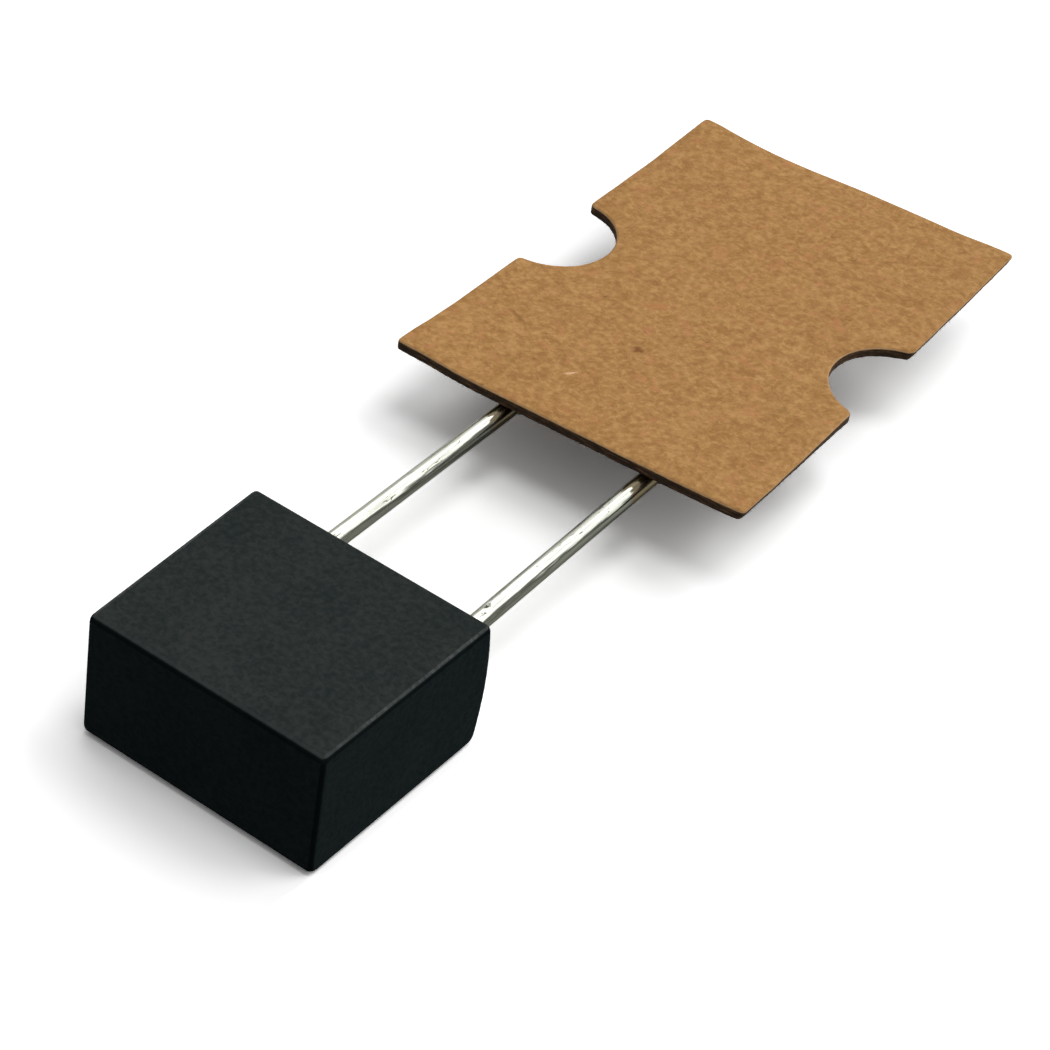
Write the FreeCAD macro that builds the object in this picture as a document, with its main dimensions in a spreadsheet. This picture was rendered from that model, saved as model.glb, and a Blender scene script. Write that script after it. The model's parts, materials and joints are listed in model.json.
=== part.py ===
# Subminiature fuse with two leads, on one pitch of its card carrier tape.
# Millimetres. X runs across the two leads, Y along the leads towards the tape, Z up.
# The origin is the middle of the case's lower face, which lies on the table.

import FreeCAD, Part
import Sketcher
import math
import os

SIZES = {
    # moulded case
    "front_width": 7.98,
    "rear_width": 8.32,
    "body_length": 7.38,
    "body_height": 4.33,
    "rear_bow": 0.23,
    "wall": 0.7,
    "front_wall": 0.8,
    "front_top_round": 0.24,
    "front_bottom_round": 0.33,
    "rear_top_round": 0.12,
    "rear_bottom_round": 0.36,
    "side_round": 0.19,
    "cavity_corner": 0.45,
    "cavity_draft": 0.06,
    # base plug
    "base_thickness": 1.5,
    "base_gap": 0.02,
    "base_recess": 0.08,
    "base_lead_in": 0.15,
    "ridge_width": 0.35,
    "ridge_height": 0.1,
    "ridge_length": 4.0,
    "ridge_gap": 0.03,
    "boss_diameter": 1.4,
    "boss_height": 0.35,
    "dimple_diameter": 1.1,
    "dimple_depth": 0.15,
    # leads
    "lead_diameter": 0.6,
    "lead_pitch": 5.08,
    "pin_gap": 0.01,
    "exit_straight": 0.8,
    "bend_before_card": 0.3,
    "lead_under_card": 12.5,
    # flattened pin ends
    "head_thickness": 0.3,
    "head_width": 1.0,
    "head_length": 1.8,
    "head_root_overlap": 0.15,
    "head_to_base": 1.9,
    # fuse element
    "core_diameter": 0.5,
    "core_overhang": 0.45,
    "core_gap": 0.01,
    "wire_diameter": 0.11,
    "winding_pitch": 0.42,
    "winding_gap": 0.01,
    "winding_end_gap": 0.02,
    "solder_radius": 0.7,
    "solder_half_width": 0.45,
    # card
    "tape_distance": 10.0,
    "card_left_near": 6.45,
    "card_left_far": 6.12,
    "card_right_near": 5.9,
    "card_right_far": 5.87,
    "card_width": 18.0,
    "card_thickness": 0.36,
    "card_corner": 0.25,
    "card_gap": 0.01,
    "feed_hole_diameter": 4.1,
    "feed_hole_pitch": 12.7,
    "feed_hole_offset": 8.68,
    # angles of the card against the case, degrees
    "card_lean": 1.5,
    "card_turn": 1.7,
    # adhesive strip
    "strip_start": 0.8,
    "strip_width": 13.0,
    "strip_thickness": 0.1,
    "strip_gap": 0.02,
    "strip_flank": 60.0,
}

doc = FreeCAD.newDocument("Fuse")
sheet = doc.addObject("Spreadsheet::Sheet", "Sizes")
for row, (alias, value) in enumerate(SIZES.items(), start=1):
    sheet.set(f"A{row}", alias)
    sheet.set(f"B{row}", str(value))
    sheet.setAlias(f"B{row}", alias)
doc.recompute()


def named(text):
    # An expression for a feature: every size name in the text is looked up in the sheet.
    out = []
    for word in text.split():
        bare = word.strip("()")
        out.append(word.replace(bare, f"Sizes.{bare}") if bare in SIZES else word)
    return " ".join(out)


def worth(text):
    # The number that such an expression gives now.
    found = sheet.evalExpression(named(text))
    return found.Value if hasattr(found, "Value") else float(found)


def new_body(label):
    # An empty body, named after its piece.
    body = doc.addObject("PartDesign::Body", label)
    body.Label = label
    return body


def origin_plane(body, role):
    # One of the three planes that the body brings with it.
    return next(item for item in body.Origin.OriginFeatures if item.Role == role)


def new_sketch(body, label, role, offset="0", turn="0"):
    # A sketch on one of the body's own planes, moved along the plane's normal by an expression.
    sketch = body.newObject("Sketcher::SketchObject", label)
    sketch.AttachmentSupport = [(origin_plane(body, role), "")]
    sketch.MapMode = "FlatFace"
    sketch.setExpression("AttachmentOffset.Base.z", named(offset))
    if turn != "0":
        sketch.setExpression("AttachmentOffset.Rotation.Angle", named(turn))
    return sketch


def dim(sketch, kind, where, text):
    # A driving dimension that follows an expression.
    index = sketch.addConstraint(Sketcher.Constraint(kind, *where, worth(text)))
    sketch.setExpression(f"Constraints[{index}]", named(text))


def place(sketch, geometry, point, across, up):
    # Pins one point of a sketch at two signed expressions, measured from the sketch's origin.
    for kind, text in (("DistanceX", across), ("DistanceY", up)):
        dim(sketch, kind, (-1, 1, geometry, point), text)


def rectangle(sketch, left, right, low, high):
    # A closed rectangle with sharp corners, its four sides as expressions.
    polygon(sketch, ((left, low), (right, low), (right, high), (left, high)))


def polygon(sketch, corners):
    # A closed outline through corners given as pairs of expressions.
    points = [FreeCAD.Vector(worth(a), worth(b), 0) for a, b in corners]
    count = len(points)
    first = sketch.GeometryCount
    for i in range(count):
        sketch.addGeometry(Part.LineSegment(points[i], points[(i + 1) % count]), False)
    for i in range(count):
        following = first + (i + 1) % count
        sketch.addConstraint(Sketcher.Constraint("Coincident", first + i, 2, following, 1))
    for i, (a, b) in enumerate(corners):
        place(sketch, first + i, 1, a, b)


def rounded_rectangle(sketch, left, right, low, high, radius):
    # A closed rectangle with four equal round corners, all as expressions.
    x0, x1, y0, y1, r = (worth(text) for text in (left, right, low, high, radius))
    centres = ((x1 - r, y0 + r), (x1 - r, y1 - r), (x0 + r, y1 - r), (x0 + r, y0 + r))
    starts = (-90, 0, 90, 180)
    first = sketch.GeometryCount
    for (cx, cy), start in zip(centres, starts):
        ring = Part.Circle(FreeCAD.Vector(cx, cy, 0), FreeCAD.Vector(0, 0, 1), r)
        arc = Part.ArcOfCircle(ring, math.radians(start), math.radians(start + 90))
        sketch.addGeometry(arc, False)
    ends = [sketch.Geometry[first + i].EndPoint for i in range(4)]
    begins = [sketch.Geometry[first + i].StartPoint for i in range(4)]
    for i in range(4):
        sketch.addGeometry(Part.LineSegment(ends[i], begins[(i + 1) % 4]), False)
    for i in range(4):
        side = first + 4 + i
        sketch.addConstraint(Sketcher.Constraint("Tangent", first + i, 2, side, 1))
        sketch.addConstraint(Sketcher.Constraint("Tangent", side, 2, first + (i + 1) % 4, 1))
    for i in range(1, 4):
        sketch.addConstraint(Sketcher.Constraint("Equal", first, first + i))
    sketch.addConstraint(Sketcher.Constraint("Vertical", first + 4))
    sketch.addConstraint(Sketcher.Constraint("Horizontal", first + 5))
    dim(sketch, "Radius", (first,), radius)
    place(sketch, first, 3, f"{right} - {radius}", f"{low} + {radius}")
    place(sketch, first + 2, 3, f"{left} + {radius}", f"{high} - {radius}")


def circle(sketch, across, up, diameter):
    # A full circle, its middle and diameter given as expressions.
    middle = FreeCAD.Vector(worth(across), worth(up), 0)
    ring = Part.Circle(middle, FreeCAD.Vector(0, 0, 1), worth(diameter) / 2)
    index = sketch.addGeometry(ring, False)
    place(sketch, index, 3, across, up)
    dim(sketch, "Diameter", (index,), diameter)


def extrude(body, kind, label, sketch, length, reverse=False, symmetric=False):
    # A Pad or Pocket of a sketch. A cut has to take material away, and a pad has to add some.
    before = body.Shape.Volume if body.Tip else 0.0
    feature = body.newObject(f"PartDesign::{kind}", label)
    feature.Profile = sketch
    feature.Reversed = reverse
    if symmetric:
        feature.SideType = "Symmetric"
    feature.setExpression("Length", named(length))
    sketch.Visibility = False
    doc.recompute()
    change = body.Shape.Volume - before
    if (change <= 0) if kind == "Pad" else (change >= 0):
        raise RuntimeError(f"{body.Label}: {label} changed the volume by {change:.4f}")
    return feature


def round_edges(body, label, radius, chosen, kind="Fillet"):
    # Rounds or bevels the edges of the body's last feature that a test picks by their middle.
    base = body.Tip
    names = []
    for i, edge in enumerate(base.Shape.Edges, start=1):
        if chosen(edge, edge.CenterOfMass):
            names.append(f"Edge{i}")
    feature = body.newObject(f"PartDesign::{kind}", label)
    feature.Base = (base, names)
    feature.setExpression("Radius" if kind == "Fillet" else "Size", named(radius))
    doc.recompute()
    return feature


def near(a, b):
    # True when two lengths are the same within a tenth of a micron.
    return abs(a - b) < 1e-4


def is_along(edge, axis):
    # True for a straight edge that runs along the axis.
    if not isinstance(edge.Curve, Part.Line):
        return False
    return abs(edge.tangentAt(edge.FirstParameter).dot(axis)) > 1 - 1e-6


ALONG_X = FreeCAD.Vector(1, 0, 0)
REAR = "body_length / 2"
AXIS_HEIGHT = "body_height / 2"
RIM = "( body_length / 2 - rear_bow )"
CAVITY_SIDE = "( rear_width / 2 - wall )"
BASE_OUTER = f"( {RIM} - base_recess )"
BASE_INNER = f"( {BASE_OUTER} - base_thickness )"
RIDGE_MIDDLE = f"( {BASE_OUTER} - base_thickness / 2 )"
HEAD_ROOT = f"( {BASE_INNER} - head_to_base )"
CORE_PLACE = f"( {HEAD_ROOT} - head_length / 2 )"
CARD_EDGE = "( body_length / 2 + tape_distance )"
LEAD_SIDES = {"left": -1, "right": 1}


def place_on_axis(body, x, y):
    # Moves a body to the height of the fuse's own axis.
    middle = FreeCAD.Vector(x, y, worth(AXIS_HEIGHT))
    body.Placement = FreeCAD.Placement(middle, FreeCAD.Rotation())


def bow_outline(sketch):
    # What is cut away behind the case, so that its rear bulges outwards at mid height.
    rim, tall, behind = worth(RIM), worth("body_height"), worth("body_length")
    radius = "( ( rear_bow ^ 2 + body_height ^ 2 / 4 ) / ( 2 * rear_bow ) )"
    r = worth(radius)
    spread = math.asin(tall / 2 / r)
    corners = ((rim, 0), (behind, 0), (behind, tall), (rim, tall))
    points = [FreeCAD.Vector(a, b, 0) for a, b in corners]
    for i in range(3):
        sketch.addGeometry(Part.LineSegment(points[i], points[i + 1]), False)
    middle = FreeCAD.Vector(worth(REAR) - r, tall / 2, 0)
    ring = Part.Circle(middle, FreeCAD.Vector(0, 0, 1), r)
    sketch.addGeometry(Part.ArcOfCircle(ring, -spread, spread), False)
    for one, end, other, start in ((0, 2, 1, 1), (1, 2, 2, 1), (2, 2, 3, 2), (3, 1, 0, 1)):
        sketch.addConstraint(Sketcher.Constraint("Coincident", one, end, other, start))
    place(sketch, 0, 1, RIM, "0")
    place(sketch, 0, 2, "body_length", "0")
    place(sketch, 1, 2, "body_length", "body_height")
    place(sketch, 2, 2, RIM, "body_height")
    dim(sketch, "Radius", (3,), radius)


def side_edges(shape):
    # The edges all round the case's two flat side faces, which part towards the rear.
    found = []
    for face in shape.Faces:
        facing = face.normalAt(0, 0)
        if isinstance(face.Surface, Part.Plane) and abs(facing.x) > abs(facing.y) + abs(facing.z):
            found += face.Edges
    return found


# Case: a deep moulded cap, its closed end at the front and its mouth at the leads
def make_case():
    body = new_body("case")
    outline = new_sketch(body, "case_outline", "XY_Plane")
    polygon(outline, (("- front_width / 2", f"- {REAR}"), ("front_width / 2", f"- {REAR}"),
                      ("rear_width / 2", REAR), ("- rear_width / 2", REAR)))
    extrude(body, "Pad", "case_block", outline, "body_height")
    bow = new_sketch(body, "rear_bow_outline", "YZ_Plane")
    bow_outline(bow)
    extrude(body, "Pocket", "rear_bow_cut", bow, "2 * rear_width", symmetric=True)
    rounds = (
        ("front_top_round", f"- {REAR}", "body_height"),
        ("front_bottom_round", f"- {REAR}", "0"),
        ("rear_top_round", RIM, "body_height"),
        ("rear_bottom_round", RIM, "0"),
    )
    for radius, along, level in rounds:
        y, z = worth(along), worth(level)
        round_edges(body, f"case_{radius}", radius,
                    lambda e, c: is_along(e, ALONG_X) and near(c.y, y) and near(c.z, z))
    sides = side_edges(body.Tip.Shape)
    round_edges(body, "case_side_rounds", "side_round",
                lambda e, c: any(e.isSame(side) for side in sides))
    mouth = new_sketch(body, "cavity_mouth", "XZ_Plane", "- body_length / 2")
    rounded_rectangle(mouth, f"- {CAVITY_SIDE}", CAVITY_SIDE,
                      "wall", "( body_height - wall )", "cavity_corner")
    end = new_sketch(body, "cavity_end", "XZ_Plane", "( body_length / 2 - front_wall )")
    end_side = f"( {CAVITY_SIDE} - cavity_draft )"
    rounded_rectangle(end, f"- {end_side}", end_side,
                      "( wall + cavity_draft )", "( body_height - wall - cavity_draft )",
                      "cavity_corner")
    before = body.Shape.Volume
    cavity = body.newObject("PartDesign::SubtractiveLoft", "cavity")
    cavity.Profile = mouth
    cavity.Sections = [end]
    doc.recompute()
    if body.Shape.Volume >= before:
        raise RuntimeError("the cavity cut nothing")
    return body


# Grooves inside the case that the plug's two snap ridges sit in
def cut_snap_grooves(body):
    floor = "( wall + cavity_draft )"
    ceiling = "( body_height - wall - cavity_draft )"
    side = "( ridge_length / 2 + ridge_gap )"
    inner = f"( {RIDGE_MIDDLE} - ridge_width / 2 - ridge_gap )"
    outer = f"( {RIDGE_MIDDLE} + ridge_width / 2 + ridge_gap )"
    depth = "( ridge_height + ridge_gap + cavity_draft )"
    for name, level, upward in (("lower", floor, False), ("upper", ceiling, True)):
        groove = new_sketch(body, f"snap_groove_{name}", "XY_Plane", level)
        rectangle(groove, f"- {side}", side, inner, outer)
        extrude(body, "Pocket", f"snap_groove_cut_{name}", groove, depth, reverse=upward)


# Base: the plug that closes the mouth and carries the two pins
def make_base():
    body = new_body("base")
    side = f"( {CAVITY_SIDE} - base_gap )"
    low = "( wall + base_gap )"
    high = "( body_height - wall - base_gap )"
    outline = new_sketch(body, "base_outline", "XZ_Plane", f"- {BASE_OUTER}")
    rounded_rectangle(outline, f"- {side}", side, low, high, "cavity_corner")
    extrude(body, "Pad", "base_plate", outline, "base_thickness")
    inner = worth(BASE_INNER)
    round_edges(body, "base_lead_in_bevel", "base_lead_in",
                lambda e, c: near(e.BoundBox.YLength, 0) and near(c.y, inner), kind="Chamfer")
    for name, level, downward in (("lower", low, True), ("upper", high, False)):
        ridge = new_sketch(body, f"snap_ridge_{name}", "XY_Plane", level)
        rectangle(ridge, "- ridge_length / 2", "ridge_length / 2",
                  f"( {RIDGE_MIDDLE} - ridge_width / 2 )", f"( {RIDGE_MIDDLE} + ridge_width / 2 )")
        extrude(body, "Pad", f"snap_ridge_pad_{name}", ridge, "ridge_height", reverse=downward)
    boss = new_sketch(body, "pin_bosses", "XZ_Plane", f"- {BASE_INNER}")
    dimple = new_sketch(body, "pin_dimples", "XZ_Plane", f"- {BASE_OUTER}")
    holes = new_sketch(body, "pin_holes", "XZ_Plane", f"- {BASE_OUTER}")
    for sign in ("-", ""):
        circle(boss, f"{sign} lead_pitch / 2", AXIS_HEIGHT, "boss_diameter")
        circle(dimple, f"{sign} lead_pitch / 2", AXIS_HEIGHT, "dimple_diameter")
        circle(holes, f"{sign} lead_pitch / 2", AXIS_HEIGHT, "( lead_diameter + 2 * pin_gap )")
    extrude(body, "Pad", "pin_boss_pads", boss, "boss_height")
    extrude(body, "Pocket", "pin_dimple_cuts", dimple, "dimple_depth", reverse=True)
    extrude(body, "Pocket", "pin_hole_cuts", holes, "( base_thickness + boss_height )", reverse=True)
    return body


def head_outline(sketch, along):
    # The flattened pin end seen from the side, with its notch for the rod, open towards the tip.
    notch = "( core_diameter / 2 + core_gap )"
    tip = f"( {along} - head_length / 2 )"
    root = f"( {along} + head_length / 2 )"
    half = "head_width / 2"
    t, m, r = worth(tip), worth(along), worth(notch)
    corners = ((t, r), (t, worth(half)), (worth(root), worth(half)), (worth(root), -worth(half)),
               (t, -worth(half)), (t, -r), (m, -r), (m, r))
    points = [FreeCAD.Vector(a, b, 0) for a, b in corners]
    for i in (0, 1, 2, 3, 4, 5):
        sketch.addGeometry(Part.LineSegment(points[i], points[i + 1]), False)
    ring = Part.Circle(FreeCAD.Vector(m, 0, 0), FreeCAD.Vector(0, 0, 1), r)
    sketch.addGeometry(Part.ArcOfCircle(ring, -math.pi / 2, math.pi / 2), False)
    sketch.addGeometry(Part.LineSegment(points[7], points[0]), False)
    for i in (0, 1, 2, 3, 4):
        sketch.addConstraint(Sketcher.Constraint("Coincident", i, 2, i + 1, 1))
    sketch.addConstraint(Sketcher.Constraint("Coincident", 5, 2, 6, 1))
    sketch.addConstraint(Sketcher.Constraint("Coincident", 6, 2, 7, 1))
    sketch.addConstraint(Sketcher.Constraint("Coincident", 7, 2, 0, 1))
    for i in (0, 2, 4):
        sketch.addConstraint(Sketcher.Constraint("Vertical", i))
    for i in (1, 3, 5, 7):
        sketch.addConstraint(Sketcher.Constraint("Horizontal", i))
    place(sketch, 6, 3, along, "0")
    dim(sketch, "Radius", (6,), notch)
    sketch.addConstraint(Sketcher.Constraint("Vertical", 6, 1, 6, 3))
    sketch.addConstraint(Sketcher.Constraint("Vertical", 6, 2, 6, 3))
    place(sketch, 1, 2, root, half)
    place(sketch, 3, 2, tip, f"- {half}")
    sketch.addConstraint(Sketcher.Constraint("Vertical", 0, 1, 4, 2))


# Leads: a flattened notched end inside, a straight pin through the base, then two slight bends
# that bring the wire flat against the underside of the card, which leans to one side
def make_lead(name, sign):
    body = new_body(f"lead_{name}")
    place_on_axis(body, sign * worth("lead_pitch / 2"), 0)
    route = new_sketch(body, f"route_{name}", "YZ_Plane")
    side = "" if sign > 0 else "-"
    at_card = f"( {side} lead_pitch / 2 * tan( card_lean * 1deg ) )"
    stops = (
        (f"( {HEAD_ROOT} - head_root_overlap )", "0"),
        (f"( {REAR} + exit_straight )", "0"),
        (f"( {CARD_EDGE} - bend_before_card )", at_card),
        (f"( {CARD_EDGE} + lead_under_card )", at_card),
    )
    points = [FreeCAD.Vector(worth(a), worth(b), 0) for a, b in stops]
    for i in range(3):
        route.addGeometry(Part.LineSegment(points[i], points[i + 1]), False)
    for i in range(2):
        route.addConstraint(Sketcher.Constraint("Coincident", i, 2, i + 1, 1))
    place(route, 0, 1, *stops[0])
    for i in range(3):
        place(route, i, 2, *stops[i + 1])
    section = new_sketch(body, f"wire_{name}", "XZ_Plane", f"( head_root_overlap - {HEAD_ROOT} )")
    circle(section, "0", "0", "lead_diameter")
    doc.recompute()
    pipe = body.newObject("PartDesign::AdditivePipe", f"pin_{name}")
    pipe.Profile = section
    pipe.Spine = (route, ["Edge1", "Edge2", "Edge3"])
    pipe.Transition = "Right corner"
    doc.recompute()
    head = new_sketch(body, f"head_{name}", "YZ_Plane")
    head_outline(head, CORE_PLACE)
    extrude(body, "Pad", f"head_pad_{name}", head, "head_thickness", symmetric=True)
    return body


# Fuse element: a glass-fibre rod in the two notches, wound with fine wire from pin to pin
def make_core():
    body = new_body("element_core")
    place_on_axis(body, 0, worth(CORE_PLACE))
    end = new_sketch(body, "rod_end", "YZ_Plane")
    circle(end, "0", "0", "core_diameter")
    extrude(body, "Pad", "rod", end, "lead_pitch + 2 * core_overhang", symmetric=True)
    return body


def make_winding():
    body = new_body("element_winding")
    place_on_axis(body, 0, worth(CORE_PLACE))
    reach = "( lead_pitch / 2 - solder_half_width - wire_diameter - winding_end_gap )"
    turn = new_sketch(body, "wire_section", "XZ_Plane")
    orbit = "( core_diameter / 2 + winding_gap + wire_diameter / 2 )"
    circle(turn, f"- {reach}", orbit, "wire_diameter")
    doc.recompute()
    helix = body.newObject("PartDesign::AdditiveHelix", "turns_of_wire")
    helix.Profile = turn
    helix.ReferenceAxis = (turn, ["H_Axis"])
    helix.Mode = "pitch-height-angle"
    helix.setExpression("Pitch", named("winding_pitch"))
    helix.setExpression("Height", named(f"2 * {reach}"))
    doc.recompute()
    return body


# Solder: a blob round each notched pin end, cut to the same outlines as the pin end and the rod
def make_solder(name, sign):
    body = new_body(f"solder_{name}")
    place_on_axis(body, sign * worth("lead_pitch / 2"), worth(CORE_PLACE))
    half, top = worth("solder_half_width"), worth("solder_radius")
    profile = new_sketch(body, f"blob_{name}", "XZ_Plane")
    left = FreeCAD.Vector(-half, 0, 0)
    right = FreeCAD.Vector(half, 0, 0)
    profile.addGeometry(Part.Arc(right, FreeCAD.Vector(0, top, 0), left), False)
    profile.addGeometry(Part.LineSegment(left, right), False)
    profile.addConstraint(Sketcher.Constraint("Coincident", 0, 2, 1, 1))
    profile.addConstraint(Sketcher.Constraint("Coincident", 0, 1, 1, 2))
    place(profile, 1, 1, "- solder_half_width", "0")
    place(profile, 1, 2, "solder_half_width", "0")
    bulge = "( ( solder_half_width ^ 2 + solder_radius ^ 2 ) / ( 2 * solder_radius ) )"
    dim(profile, "Radius", (0,), bulge)
    doc.recompute()
    blob = body.newObject("PartDesign::Revolution", f"blob_turned_{name}")
    blob.Profile = profile
    blob.ReferenceAxis = (profile, ["H_Axis"])
    blob.Angle = 360
    doc.recompute()
    slot = new_sketch(body, f"pin_slot_{name}", "YZ_Plane")
    head_outline(slot, "0")
    extrude(body, "Pocket", f"pin_slot_cut_{name}", slot, "head_thickness", symmetric=True)
    rod = new_sketch(body, f"rod_hole_{name}", "YZ_Plane")
    circle(rod, "0", "0", "( core_diameter + 2 * core_gap )")
    extrude(body, "Pocket", f"rod_hole_cut_{name}", rod, "2 * solder_radius", symmetric=True)
    return body


def card_frame(turned=True):
    # The plane of the card's underside, its origin at the middle of the near edge.
    touch = worth("( lead_diameter / 2 + card_gap ) / cos( card_lean * 1deg )")
    turn = FreeCAD.Rotation(FreeCAD.Vector(0, 0, 1), worth("card_turn") if turned else 0)
    roll = FreeCAD.Rotation(FreeCAD.Vector(0, 1, 0), -worth("card_lean"))
    rotation = roll.multiply(turn)
    base = FreeCAD.Vector(0, worth(CARD_EDGE), worth(AXIS_HEIGHT) + touch)
    return FreeCAD.Placement(base, rotation)


def feed_holes(body, label, turn="0"):
    # A sketch of the two feed holes that the card was parted through.
    sketch = new_sketch(body, label, "XY_Plane", turn=turn)
    for sign in ("-", ""):
        circle(sketch, f"{sign} feed_hole_pitch / 2", "feed_hole_offset", "feed_hole_diameter")
    return sketch


def card_side(side, along):
    # How far the card reaches to one side at a distance from its near edge: the cuts are askew.
    near_end, far_end = f"card_{side}_near", f"card_{side}_far"
    return f"( {near_end} + ( {far_end} - {near_end} ) * {along} / card_width )"


def card_strip(sketch, start, end):
    # The card's own outline between two distances from its near edge.
    polygon(sketch, ((f"- {card_side('left', start)}", start), (card_side("right", start), start),
                     (card_side("right", end), end), (f"- {card_side('left', end)}", end)))


# Carrier card: one pitch of kraft card, cut through a feed hole at each end
def make_card():
    body = new_body("carrier_card")
    body.Placement = card_frame()
    outline = new_sketch(body, "card_outline", "XY_Plane")
    card_strip(outline, "0", "card_width")
    extrude(body, "Pad", "card_sheet", outline, "card_thickness")
    holes = feed_holes(body, "card_feed_holes")
    extrude(body, "Pocket", "feed_hole_cuts", holes, "card_thickness", reverse=True)
    edges = (0, worth("card_width"))
    round_edges(body, "card_corners", "card_corner",
                lambda e, c: any(near(c.y, y) for y in edges)
                and near(e.Length, worth("card_thickness")))
    return body


def hump_outline(sketch, middle, radius):
    # A tent with a round top, upside down: an arc under the lead and two flanks up to the card.
    m, r, deep = worth(middle), worth(radius), worth("lead_diameter / 2 + card_gap")
    flank = math.radians(worth("strip_flank"))
    touch_x = r * math.sin(flank)
    touch_z = -deep - r * math.cos(flank)
    foot_x = touch_x - touch_z / math.tan(flank)
    first = sketch.GeometryCount
    ring = Part.Circle(FreeCAD.Vector(m, -deep, 0), FreeCAD.Vector(0, 0, 1), r)
    right = FreeCAD.Vector(m + foot_x, 0, 0)
    left = FreeCAD.Vector(m - foot_x, 0, 0)
    sketch.addGeometry(Part.ArcOfCircle(ring, -math.pi / 2 - flank, -math.pi / 2 + flank), False)
    sketch.addGeometry(Part.LineSegment(FreeCAD.Vector(m + touch_x, touch_z, 0), right), False)
    sketch.addGeometry(Part.LineSegment(right, left), False)
    sketch.addGeometry(Part.LineSegment(left, FreeCAD.Vector(m - touch_x, touch_z, 0)), False)
    sketch.addConstraint(Sketcher.Constraint("Tangent", first, 2, first + 1, 1))
    sketch.addConstraint(Sketcher.Constraint("Coincident", first + 1, 2, first + 2, 1))
    sketch.addConstraint(Sketcher.Constraint("Coincident", first + 2, 2, first + 3, 1))
    sketch.addConstraint(Sketcher.Constraint("Tangent", first + 3, 2, first, 1))
    place(sketch, first, 3, middle, "( - lead_diameter / 2 - card_gap )")
    dim(sketch, "Radius", (first,), radius)
    sketch.addConstraint(Sketcher.Constraint("PointOnObject", first + 1, 2, -1))
    sketch.addConstraint(Sketcher.Constraint("PointOnObject", first + 2, 2, -1))
    dim(sketch, "Angle", (first + 1,), "strip_flank * 1deg")
    dim(sketch, "Angle", (first + 3,), "( - strip_flank ) * 1deg")


# Adhesive strip: a thin sheet under the card that rises round each lead in a long hump
def make_strip():
    body = new_body("hold_down_tape")
    body.Placement = card_frame(turned=False)
    # First it is made too long and too wide, in line with the leads.
    start = "( strip_start - card_width / 4 )"
    length = "( strip_width + card_width / 2 )"
    section = new_sketch(body, "strip_section", "XZ_Plane", f"- {start}")
    rectangle(section, "- card_width", "card_width", "- strip_thickness", "0")
    extrude(body, "Pad", "strip_sheet", section, length, reverse=True)
    runs = (
        ("Pad", "hump", "( lead_diameter / 2 + strip_gap + strip_thickness )"),
        ("Pocket", "tunnel", "( lead_diameter / 2 + strip_gap )"),
    )
    for kind, label, radius in runs:
        sketch = new_sketch(body, f"{label}_section", "XZ_Plane", f"- {start}")
        for sign in ("-", ""):
            hump_outline(sketch, f"{sign} lead_pitch / 2", radius)
        extrude(body, kind, f"{label}_run", sketch, length, reverse=kind == "Pad")
    # Then it is trimmed in line with the card, which is turned a little against the leads.
    turn = "card_turn * 1deg"
    deep = "4 * lead_diameter"
    wide = "2 * card_width"
    trim = new_sketch(body, "strip_trim", "XY_Plane", turn=turn)
    rectangle(trim, f"- {wide}", wide, f"- {wide}", wide)
    card_strip(trim, "strip_start", "( strip_start + strip_width )")
    extrude(body, "Pocket", "strip_trim_cut", trim, deep, symmetric=True)
    holes = feed_holes(body, "strip_feed_holes", turn)
    extrude(body, "Pocket", "strip_hole_cuts", holes, deep, symmetric=True)
    return body


# Builds every piece, checks the whole document and writes one file for each piece
def main():
    case = make_case()
    cut_snap_grooves(case)
    pieces = [case, make_base()]
    for name, sign in LEAD_SIDES.items():
        pieces.append(make_lead(name, sign))
    pieces += [make_core(), make_winding()]
    for name, sign in LEAD_SIDES.items():
        pieces.append(make_solder(name, sign))
    pieces += [make_card(), make_strip()]
    doc.recompute()
    for item in doc.Objects:
        if "Invalid" in item.State or "Error" in item.State:
            raise RuntimeError(f"{item.Label} failed: {item.State}")
        if item.TypeId == "Sketcher::SketchObject" and item.solve() != 0:
            raise RuntimeError(f"the sketch {item.Label} is not solved")
    for body in pieces:
        if body.Shape.isNull() or not body.Shape.isValid() or len(body.Shape.Solids) != 1:
            raise RuntimeError(f"{body.Label} is not one valid solid")
    os.makedirs("parts", exist_ok=True)
    for body in pieces:
        body.Shape.exportStep(f"parts/{body.Label}.step")
        print(f"{body.Label}: {body.Shape.Volume:.3f} mm3")


main()
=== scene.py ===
"""The looks of a subminiature fuse whose two leads lie under one pitch of carrier card.

Lengths are millimetres until they become mesh coordinates, which are metres. The frame is the part's own:
X runs across the two leads, Y along them from the case to the card, and Z up from the table.
"""

import json
import logging
import math
from dataclasses import dataclass, field, replace
from enum import Enum
from typing import Iterable, Optional, Union

import bpy
from mathutils import Euler, Matrix, Vector, noise
from mathutils.geometry import delaunay_2d_cdt

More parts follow.
